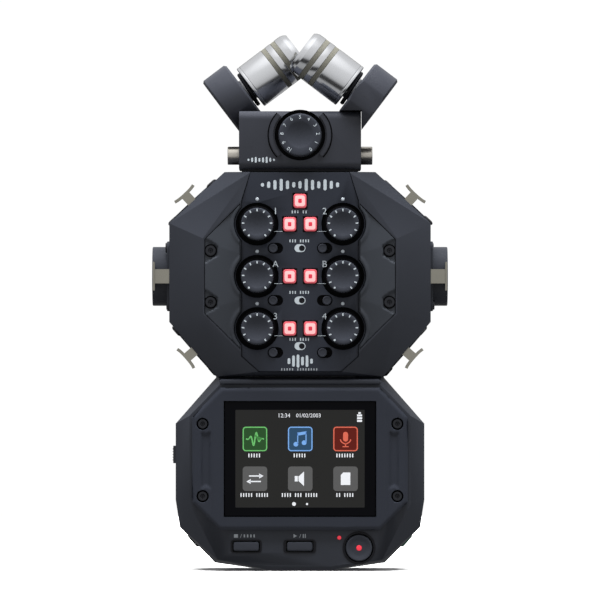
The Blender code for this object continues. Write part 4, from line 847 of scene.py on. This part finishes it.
onScreen("greyIcons", "screenWhite", *[moved(shape, x, tile["lower"]) for x,
                                       group in zip(tile["xs"], (arrows, speaker, card))
                                       for shape in group])
print("screen")


# the round sockets, their latches and screws

sockets = {}
for i, (x, z, nx, nz) in enumerate(((43.21, 147.13, 0.680, 0.733), (42.25, 87.62, 0.752, -0.659))):
    for side in (-1, 1):
        sockets[f"{1 + 2 * i + (side > 0)}"] = (side * x, z, side * nx, nz)
xlr = dict(y=1.6, radius=11.84, mouth=9.4, core=7.5, deep=14.0, drop=1.5, lip=0.6, flange=2.2, barrel=10.2,
           pin=1.25, pinRing=4.4, key=1.7, screwAlong=10.7, screwAcross=9.6, screw=2.5)


def socketShape(rise, coreTop):
    # mouth and flange, then the barrel behind, with a core standing in the middle
    floor = -xlr["deep"] + 1.6
    profile = [(0, coreTop), (xlr["core"], coreTop), (xlr["core"], floor), (xlr["mouth"], floor),
               (xlr["mouth"], rise),
               (xlr["radius"], rise), (xlr["radius"], -xlr["flange"]), (xlr["barrel"], -xlr["flange"]),
               (xlr["barrel"], -xlr["deep"]), (0, -xlr["deep"])]
    return lathe(soften(profile, 0.45), 96)


def pinHoles(where, coreTop, radius):
    spots = [(xlr["pinRing"] * math.cos(a), xlr["pinRing"] * math.sin(a))
             for a in np.radians((90, 205, 335))]
    return [at(where, moved(lathe([(0, -6), (radius, -6), (radius, 3), (0, 3)], 24), x, y, coreTop)) for x,
            y in spots]


def latchPath(half, high):
    # a plate that turns out towards both ends
    x = np.linspace(-half, half, 21)
    return np.c_[x, high - 0.95 + 0.5 * np.abs(x / half) ** 3]


for name, (x, z, nx, nz) in sockets.items():
    out, along = (nx, 0, nz), (nz, 0, -nx)
    where = frameAt((x * mm, xlr["y"] * mm, z * mm), out, along)
    node = "xlr_jack_" + name
    mesh = carved(makeMesh(node, at(where, socketShape(xlr["lip"], -xlr["drop"]))),
                  pinHoles(where, -xlr["drop"], xlr["pin"]))
    standsFor(addPiece("xlrSocket" + name, mesh, paint["socketPlastic"], "recorder"),
              node)
    sleeves = [moved(lathe([(0.75, -3.5), (0.75, -0.9), (1.15, -0.9), (1.15, -3.5), (0.75, -3.5)], 20),
                     xlr["pinRing"] * math.cos(a), xlr["pinRing"] * math.sin(a), -xlr["drop"])
               for a in np.radians((90, 205, 335))]
    makePiece(f"xlrContacts{name}", at(where, *sleeves), paint["contactBrass"], "recorder")
    tongue = box((-xlr["key"], -xlr["mouth"] - 0.1, -9), (xlr["key"], -xlr["core"] - 0.4, -1.4))
    makePiece(f"xlrKey{name}", at(where, tongue), paint["nickel"], "recorder")
    screws = [moved(lathe(soften([(0, 0.35), (0.9, 0.35), (1.1, 0.95), (1.7, 1.0), (xlr["screw"], 0.45),
                                  (xlr["screw"], -0.3),
                                  (0, -0.3)], 0.3), 32), s * xlr["screwAlong"], -s * xlr["screwAcross"])
              for s in (-1, 1)]
    makePiece(f"xlrScrews{name}", at(where, *screws), paint["screwBlack"], "recorder")
    latchNode = "xlr_latch_" + name
    latchAt = frameAt((x * mm, -0.012, z * mm), (0, -1, 0), along)
    shapes = [stroke(latchPath(5.05, 5.2), 1.15, -3.2, 1.2),
              plate([(-1.95, -4.9), (-1.95, 4.1), (1.95, 4.1), (1.95, -4.9)], -1.15, 1.15)]
    shapes += [box((-1.7, y, 1.1), (1.7, y + 0.55, 1.2)) for y in (0.3, 1.4, 2.5)]
    standsFor(makePiece("xlrLatch" + name, at(latchAt, *shapes), paint["latchSteel"], latchNode,
                        40), latchNode)

combo = dict(z=117.5, face=52.35, rise=6.9, bore=3.3, plateTall=28.0, plateDeep=24.0, plateThick=1.0)
for name, side in (("a", -1), ("b", 1)):
    node = "combo_jack_" + name
    where = frameAt((side * combo["face"] * mm, xlr["y"] * mm, combo["z"] * mm), (side, 0, 0),
                    (0, 0, -side))
    top = combo["rise"] - xlr["drop"]
    bore = at(where, lathe([(0, -12), (combo["bore"], -12), (combo["bore"], 9), (0, 9)], 48))
    flange = pad(combo["plateTall"], combo["plateDeep"], 3.0, roundedRows(-0.05, combo["plateThick"], 0.4))
    body = makeMesh(node, at(where, socketShape(combo["rise"], top)))
    mesh = carved(body, [bore] + [at(where, moved(lathe([(0, -6), (1.2, -6), (1.2, 3), (0, 3)], 24),
                                                  5.35 * math.cos(a), 5.35 * math.sin(a), top))
                                  for a in np.radians((90, 210, 330))])
    standsFor(addPiece("comboSocket" + name.upper(), mesh, paint["socketPlastic"], "recorder"), node)
    makePiece("comboFlange" + name.upper(), at(where, flange), paint["casePlastic"], "recorder")
    screws = [moved(lathe(soften([(0, 0.2), (0.8, 0.2), (1.0, 0.6), (2.0, 0.55), (2.0, -0.2), (0, -0.2)],
                                 0.2), 28),
                    s * 11.4, -s * 9.4, combo["plateThick"]) for s in (-1, 1)]
    makePiece("comboScrews" + name.upper(), at(where, *screws), paint["screwBlack"], "recorder")
    latchNode = "combo_latch_" + name
    latchAt = frameAt((side * combo["face"] * mm, -0.012, combo["z"] * mm), (0, -1, 0), (0, 0, -side))
    shapes = [pad(11.6, 0.9, 0.4, [(0, -1.4), (0, 1.1), (0.1, 1.2)]),
              box((-2.85, -11.2, -1.1), (2.85, -0.3, 1.0)),
              box((-2.3, -6.4, 0.95), (2.3, -0.9, 1.12))]
    shapes = [moved(shape, 0, 6.15) for shape in shapes]
    standsFor(makePiece("comboLatch" + name.upper(), at(latchAt, *shapes), paint["latchSteel"], latchNode), latchNode)
print("sockets")


# the capsule unit and its two microphones

capLow, capHigh = ends("capsule_case")
capAt = frameAt((0, capLow[1], 0.1739))
shell = dict(bottom=160.0, corner=3.2, round=0.35, plugHalf=9.9, plugDeep=3.9, plugY=1.6, bore=4.1,
             boreZ=166.0)
size = (capHigh - capLow) / mm
tall = capHigh[2] / mm - shell["bottom"]
turn = np.linspace(0, np.pi / 2, 5)
rows = list(zip(shell["round"] * (1 - np.sin(turn)), shell["round"] * (1 - np.cos(turn))))
rows += [(inset, size[0] - along) for inset, along in rows[::-1]]
loaf = pad(size[1], tall, shell["corner"], rows, 8)
shellAt = frameAt((capLow[0], 0, (shell["bottom"] + tall / 2) * mm), (1, 0, 0), (0, 1, 0))
plug = box((-shell["plugHalf"], shell["plugY"] - shell["plugDeep"], capLow[2] / mm),
           (shell["plugHalf"], shell["plugY"] + shell["plugDeep"], shell["bottom"] + 1))
tools = [at(capAt, lathe([(0, -0.8), (10.0, -0.8), (10.0, 2), (0, 2)], 96),
            lathe([(0, -6), (3.0, -6), (3.0, -0.5), (0, -0.5)], 32))]
tools += [at(frameAt((x, 0, shell["boreZ"] * mm), (way, 0, 0), (0, 1, 0)),
             lathe([(0, -5), (shell["bore"], -5), (shell["bore"], 2), (0, 2)], 48))
          for x, way in ((capLow[0], -1), (capHigh[0], 1))]
mesh = carved(makeMesh("capsuleShell", at(shellAt, loaf)), tools[1:])
mesh = carved(mesh, [tools[0][:1], tools[0][1:]])
standsFor(addPiece("capsuleCase", mesh, paint["capsulePlastic"], "capsule"),
          "capsule_case")
foot = box((-size[0] / 2 + 1.0, -size[1] / 2 + 2.0, shell["bottom"] - 0.4),
           (size[0] / 2 - 1.0, size[1] / 2 - 2.0, shell["bottom"] + 0.2))
makePiece("capsuleFoot", at(frameAt((0, 0, 0), (0, 0, 1)), foot), paint["blackPlastic"], "capsule")
makePiece("capsulePlug", at(frameAt((0, 0, 0), (0, 0, 1)), plug), paint["capsulePlastic"], "capsule")
guard = dict(radius=11.5, width=1.9, span=44, tall=1.1, groove=12.75)
guards = [stroke(arc(guard["radius"], c - guard["span"], c + guard["span"], 40), guard["width"] - inset,
                 low, high)
          for c in (0, 180) for inset, low, high in ((0, -0.1, guard["tall"] * 0.6),
                                                     (0.5, guard["tall"] * 0.6, guard["tall"]))]
makePiece("knobGuards", at(capAt, *guards), paint["capsulePlastic"], "capsule", 60)
# painted shade: flat near-black arcs beside the guards stand for the shade of grooves
grooveShade = [stroke(arc(guard["groove"], c - guard["span"], c + guard["span"], 40), 0.5, -0.05, 0.02)
           for c in (0, 180)]
makePiece("guardGrooves", at(capAt, *grooveShade), paint["deepBlack"], "capsule", 60)
# painted shade: a near-black ring in the well round the volume knob stands for the shade there
well = lathe(soften([(8.75, -0.75), (9.95, -0.75), (9.95, 0.03), (10.15, 0.03), (10.15, -0.1),
                     (9.98, -0.78), (8.75, -0.78),
                     (8.75, -0.75)], 0.05), 96)
makePiece("volumeWell", at(capAt, well), paint["deepBlack"], "capsule")
badge = [moved(pad(0.75, tall, 0.35, [(0, 0), (0, 0.04)]), -15.5 + (i - 3.5) * 1.45, -9.9)
         for i, tall in enumerate((0.9, 1.7, 2.3, 1.4, 2.0, 2.4, 1.6, 0.9))]
makePiece("capsuleBadge", at(capAt, *badge), paint["printPaint"], "capsule")

low, high = ends("mic_volume_knob")
volumeAt = frameAt(middle("mic_volume_knob", low[1]))
cap = knobShape(-5.75, 0, 8.45, 8.6, 5.6, 1.25, 56, 0.16, 0.75)
shaft = lathe([(0, -5.6), (2.6, -5.6), (2.6, -9), (0, -9)], 32)
standsFor(makePiece("volumeKnob", at(volumeAt, cap, shaft), paint["knobPlastic"], "mic_volume_knob",
                    30),
          "mic_volume_knob")
numerals = []
for value in range(11):
    angle = math.radians(-54 + 28.8 * value)
    numerals.append(moved(lettering(str(value), 2.1, 0.05), 7.1 * math.cos(angle), 7.1 * math.sin(angle),
                          0.0,
                          math.degrees(angle) - 90))
makePiece("volumeNumerals", at(volumeAt, *numerals), paint["printPaint"], "mic_volume_knob")

for word, side in (("left", -1), ("right", 1)):
    node = "release_button_" + word
    low, high = ends(node)
    tip = low[0] if side < 0 else high[0]
    deep = (high - low)[0] / mm
    where = frameAt((tip, (low[1] + high[1]) / 2, (low[2] + high[2]) / 2), (side, 0, 0), (0, 1, 0))
    shape = lathe(soften([(0, -0.15), (2.6, -0.15), (2.9, 0), (3.65, 0), (3.68, -deep), (0, -deep)], 0.4),
                  64)
    standsFor(makePiece("releaseButton" + word.title(), at(where, shape), paint["nickel"], node),
              node)

mic = dict(pivotX=22.56, pivotZ=191.67, y=9.8, radius=9.4, back=3.2, length=24.2, grille=8.35,
           bands=((5.3, 2.1), (10.0, 2.0)), weaveRound=150, weaveSize=0.055)


def wovenBand(radius, low, high, rows=14):
    # the radius goes up and down like a basket weave round and along the band
    turn = np.linspace(0, 2 * np.pi, mic["weaveRound"] * 4, endpoint=False)
    tall = np.linspace(low, high, rows)
    ripple = mic["weaveSize"] * np.cos(mic["weaveRound"] * turn)[None] * np.cos(np.pi * np.arange(rows))[:,
                                                                                                         None]
    rim = radius + ripple
    points = np.stack([rim * np.cos(turn), rim * np.sin(turn), np.repeat(tall[:, None], len(turn), 1)],
                      -1).reshape(-1, 3)
    inner = lathe([(radius - 0.3, high), (radius - 0.3, low)], len(turn))
    faces = ringFaces(rows, len(turn))
    count = len(points)
    faces += [[count + v for v in face] for face in inner[1]]
    n = len(turn)
    for first, second in ((count - n, count), (count + n, 0)):
        faces += [[first + k, first + (k + 1) % n, second + (k + 1) % n, second + k] for k in range(n)]
    return np.vstack([points, inner[0]]), faces


def wovenDome(radius, height, bulge, rings=40, steps=192):
    # a shallow bowl whose surface carries the small squares of a wire mesh
    share = np.linspace(0.02, 1, rings)
    turn = np.linspace(0, 2 * np.pi, steps, endpoint=False)
    r, a = np.meshgrid(radius * share, turn, indexing="ij")
    x, y = r * np.cos(a), r * np.sin(a)
    wires = 0.09 * np.maximum(np.cos(x * 5.2), np.cos(y * 5.2))
    z = height + bulge * (1 - (r / radius) ** 2) + wires * (r < radius * 0.97)
    shell = np.stack([x, y, z], -1).reshape(-1, 3)
    back = np.stack([x, y, np.full_like(z, height - 0.5)], -1)[[-1]].reshape(-1, 3)
    faces = ringFaces(rings, steps)
    last = (rings - 1) * steps
    faces += [[last + k, last + (k + 1) % steps, last + steps + (k + 1) % steps, last + steps + k]
              for k in range(steps)]
    faces += [list(range(steps))[::-1], [last + steps + k for k in range(steps)]]
    return np.vstack([shell, back]), faces


for word, side in (("left", -1), ("right", 1)):
    axis = (-side * math.cos(micAngle), 0, math.sin(micAngle))
    where = frameAt((side * mic["pivotX"] * mm, -side * mic["y"] * mm, mic["pivotZ"] * mm), axis, (0, 1, 0))
    front = mic["back"] + mic["length"]
    node = "mic_barrel_" + word
    wall = [(0, mic["back"] + 2.0), (mic["grille"], mic["back"] + 2.0), (mic["grille"] - 0.5, front - 0.25),
            (mic["grille"] - 0.3, front),
            (mic["radius"] - 1.15, front - 0.05), (mic["radius"] - 0.45, front - 1.0),
            (mic["radius"], front - 2.3)]
    for start, wide in mic["bands"]:  # a shallow groove for each woven band
        wall += [(mic["radius"], front - start), (mic["radius"] - 0.25, front - start - 0.05),
                 (mic["radius"] - 0.25, front - start - wide + 0.05), (mic["radius"], front - start - wide)]
    wall += [(mic["radius"], mic["back"] + 1.5), (mic["radius"] - 0.12, mic["back"] + 1.4),
             (mic["radius"] - 0.12, mic["back"] + 1.15),
             (mic["radius"], mic["back"] + 1.05), (mic["radius"], mic["back"] + 0.2),
             (mic["radius"] - 0.5, mic["back"]),
             (5.0, mic["back"]), (5.0, mic["back"] - 4.3), (0, mic["back"] - 4.3)]
    barrel = makePiece("micBarrel" + word.title(), at(where, lathe(soften(wall, 0.12, 3), 128)),
                       paint["micMetal" + word],
                       "mic_" + word)
    standsFor(barrel, node)
    woven = [wovenBand(mic["radius"] - 0.1, front - start - wide + 0.08, front - start - 0.08) for start,
             wide in mic["bands"]]
    makePiece("micBands" + word.title(), at(where, *woven), paint["micMesh" + word], "mic_" + word,
              80)
    grille = wovenDome(mic["grille"] - 0.55, front - 1.0, 0.75)
    makePiece("micGrille" + word.title(), at(where, grille), paint["micMesh" + word], "mic_" + word,
              80)
    element = lathe(soften([(0, front - 1.9), (7.9, front - 1.9), (7.9, front - 9), (0, front - 9)], 0.4),
                    64)
    standsFor(makePiece("micElement" + word.title(), at(where, element), paint["blackPlastic"],
                        "mic_" + word),
              "mic_element_" + word)
    twistAxis = (-side * math.cos(twistAngle), 0, math.sin(twistAngle))
    collar = lathe(soften([(5.5, 1.4), (7.2, 1.4), (7.7, 1.9), (7.5, 3.0), (5.5, 3.0), (5.5, 1.4)], 0.25),
                   72)
    collarAt = frameAt(where[:3, 3], twistAxis, (0, 1, 0))
    makePiece("micCollar" + word.title(), at(collarAt, collar), paint["blackPlastic"], "mic_" + word,
              50)
    face = ends("mic_arm_" + word)[0][1]
    mark = frameAt(((side * 26.0) * mm, face, 189.3 * mm), (0, -1, 0), axis)
    makePiece("micArmMark" + word.title(), at(mark, box((-1.7, -0.22, -0.1), (1.7, 0.22, 0.02))),
              paint["buttonPlastic"],
              "capsule")
    refined("micArm" + word.title(), "mic_arm_" + word, paint["capsulePlastic"], 0.7, smallShare=0.8,
            clamp=True)
print("capsule unit")


# the parts inside keep their shape and get a material

for node, look in (("main_board", "boardCoat"), ("display_module", "screenDim")):
    for slot in nodeOf[node].material_slots:
        slot.material = paint[look]


# floor, light and camera

def addLamp(name, where, aim, width, height, watts, tint=(1, 1, 1)):
    light = bpy.data.lights.new(name, "AREA")
    light.shape, light.size, light.size_y, light.energy, light.color = "RECTANGLE", width, height, watts, tint
    lamp = bpy.data.objects.new(name, light)
    lamp.location = where
    lamp.rotation_euler = (Vector(aim) - Vector(where)).to_track_quat("-Z", "Y").to_euler()
    lamp.visible_glossy = False
    bpy.context.scene.collection.objects.link(lamp)


floorMesh = makeMesh("floor", at(frameAt((0, 0, 0), (0, 0, 1)), disc(750, -20, -0.4, steps=96)))
floorMesh.materials.append(surface("floorPaint", dict(colour=(0.92, 0.92, 0.92), rough=0.9, spread=0.01,
                                                      cloud=2, grain=300)))
floor = bpy.data.objects.new("floor", floorMesh)
bpy.context.scene.collection.objects.link(floor)
floor.visible_diffuse = floor.visible_glossy = False


def studioWorld():
    # plain white where it is looked at, even light on the surfaces, and soft boxes with dark gaps in their gloss
    world = bpy.data.worlds.new("studio")
    world.use_nodes = True
    nodes, links = world.node_tree.nodes, world.node_tree.links
    path = nodes.new("ShaderNodeLightPath")
    spread = nodes.new("ShaderNodeTexCoord")
    split = nodes.new("ShaderNodeSeparateXYZ")
    links.new(spread.outputs["Generated"], split.inputs[0])
    lean = nodes.new("ShaderNodeMath")
    lean.operation = "MULTIPLY_ADD"  # height less three tenths of the depth
    lean.inputs[1].default_value = -0.3
    links.new(split.outputs["Y"], lean.inputs[0])
    links.new(split.outputs["Z"], lean.inputs[2])
    share = nodes.new("ShaderNodeMapRange")
    share.inputs["From Min"].default_value, share.inputs["From Max"].default_value = -1.0, 1.0
    links.new(lean.outputs[0], share.inputs["Value"])
    boxes = nodes.new("ShaderNodeValToRGB")
    stops = ((0.08, 0.03), (0.12, 0.16), (0.27, 0.18), (0.30, 0.015), (0.43, 0.015), (0.50, 0.22),
             (0.66, 0.30),
             (0.88, 0.36), (1.0, 0.6))
    ramp = boxes.color_ramp
    while len(ramp.elements) < len(stops):
        ramp.elements.new(0.5)
    for element, (place, bright) in zip(ramp.elements, stops):
        element.position, element.color = place, (bright, bright, bright, 1)
    links.new(share.outputs["Result"], boxes.inputs["Fac"])
    gloss = nodes.new("ShaderNodeMath")
    gloss.operation = "MULTIPLY"
    gloss.inputs[1].default_value = 3.0
    links.new(boxes.outputs["Color"], gloss.inputs[0])
    bounce = nodes.new("ShaderNodeMapRange")
    bounce.inputs["From Min"].default_value, bounce.inputs["From Max"].default_value = -0.4, 0.1
    bounce.inputs["To Min"].default_value, bounce.inputs["To Max"].default_value = 1.0, 0.42
    links.new(split.outputs["Z"], bounce.inputs["Value"])
    soft = nodes.new("ShaderNodeMix")
    links.new(bounce.outputs["Result"], soft.inputs[3])
    links.new(path.outputs["Is Diffuse Ray"], soft.inputs[0])
    links.new(gloss.outputs[0], soft.inputs[2])
    seen = nodes.new("ShaderNodeMix")
    seen.inputs[3].default_value = 1.02
    links.new(path.outputs["Is Camera Ray"], seen.inputs[0])
    links.new(soft.outputs[0], seen.inputs[2])
    links.new(seen.outputs[0], nodes["Background"].inputs["Strength"])
    nodes["Background"].inputs["Color"].default_value = (1, 1, 1, 1)
    bpy.context.scene.world = world
    bpy.context.scene.view_settings.view_transform = "Standard"


studioWorld()
addLamp("topLight", (0.0, -0.14, 1.3), (0, 0, 0.1), 1.4, 0.9, 90)
addLamp("leftStrip", (-0.9, -0.7, 0.5), (0, 0, 0.12), 0.25, 1.0, 0.9)
addLamp("rightStrip", (0.9, -0.7, 0.5), (0, 0, 0.12), 0.25, 1.0, 0.9)

view = dict(distance=3.0, faceY=-0.015, height=0.108, sensor=36.0, field=0.24)
camera = bpy.data.cameras.new("camera")
camera.sensor_width = view["sensor"]
# the field is as wide as it should be at the face
camera.lens = view["sensor"] * view["distance"] / view["field"]
camera.clip_start, camera.clip_end = 0.02, 20
holder = bpy.data.objects.new("camera", camera)
holder.location = (0, view["faceY"] - view["distance"], view["height"])
holder.rotation_euler = (math.radians(90), 0, 0)
bpy.context.scene.collection.objects.link(holder)
bpy.context.scene.camera = holder
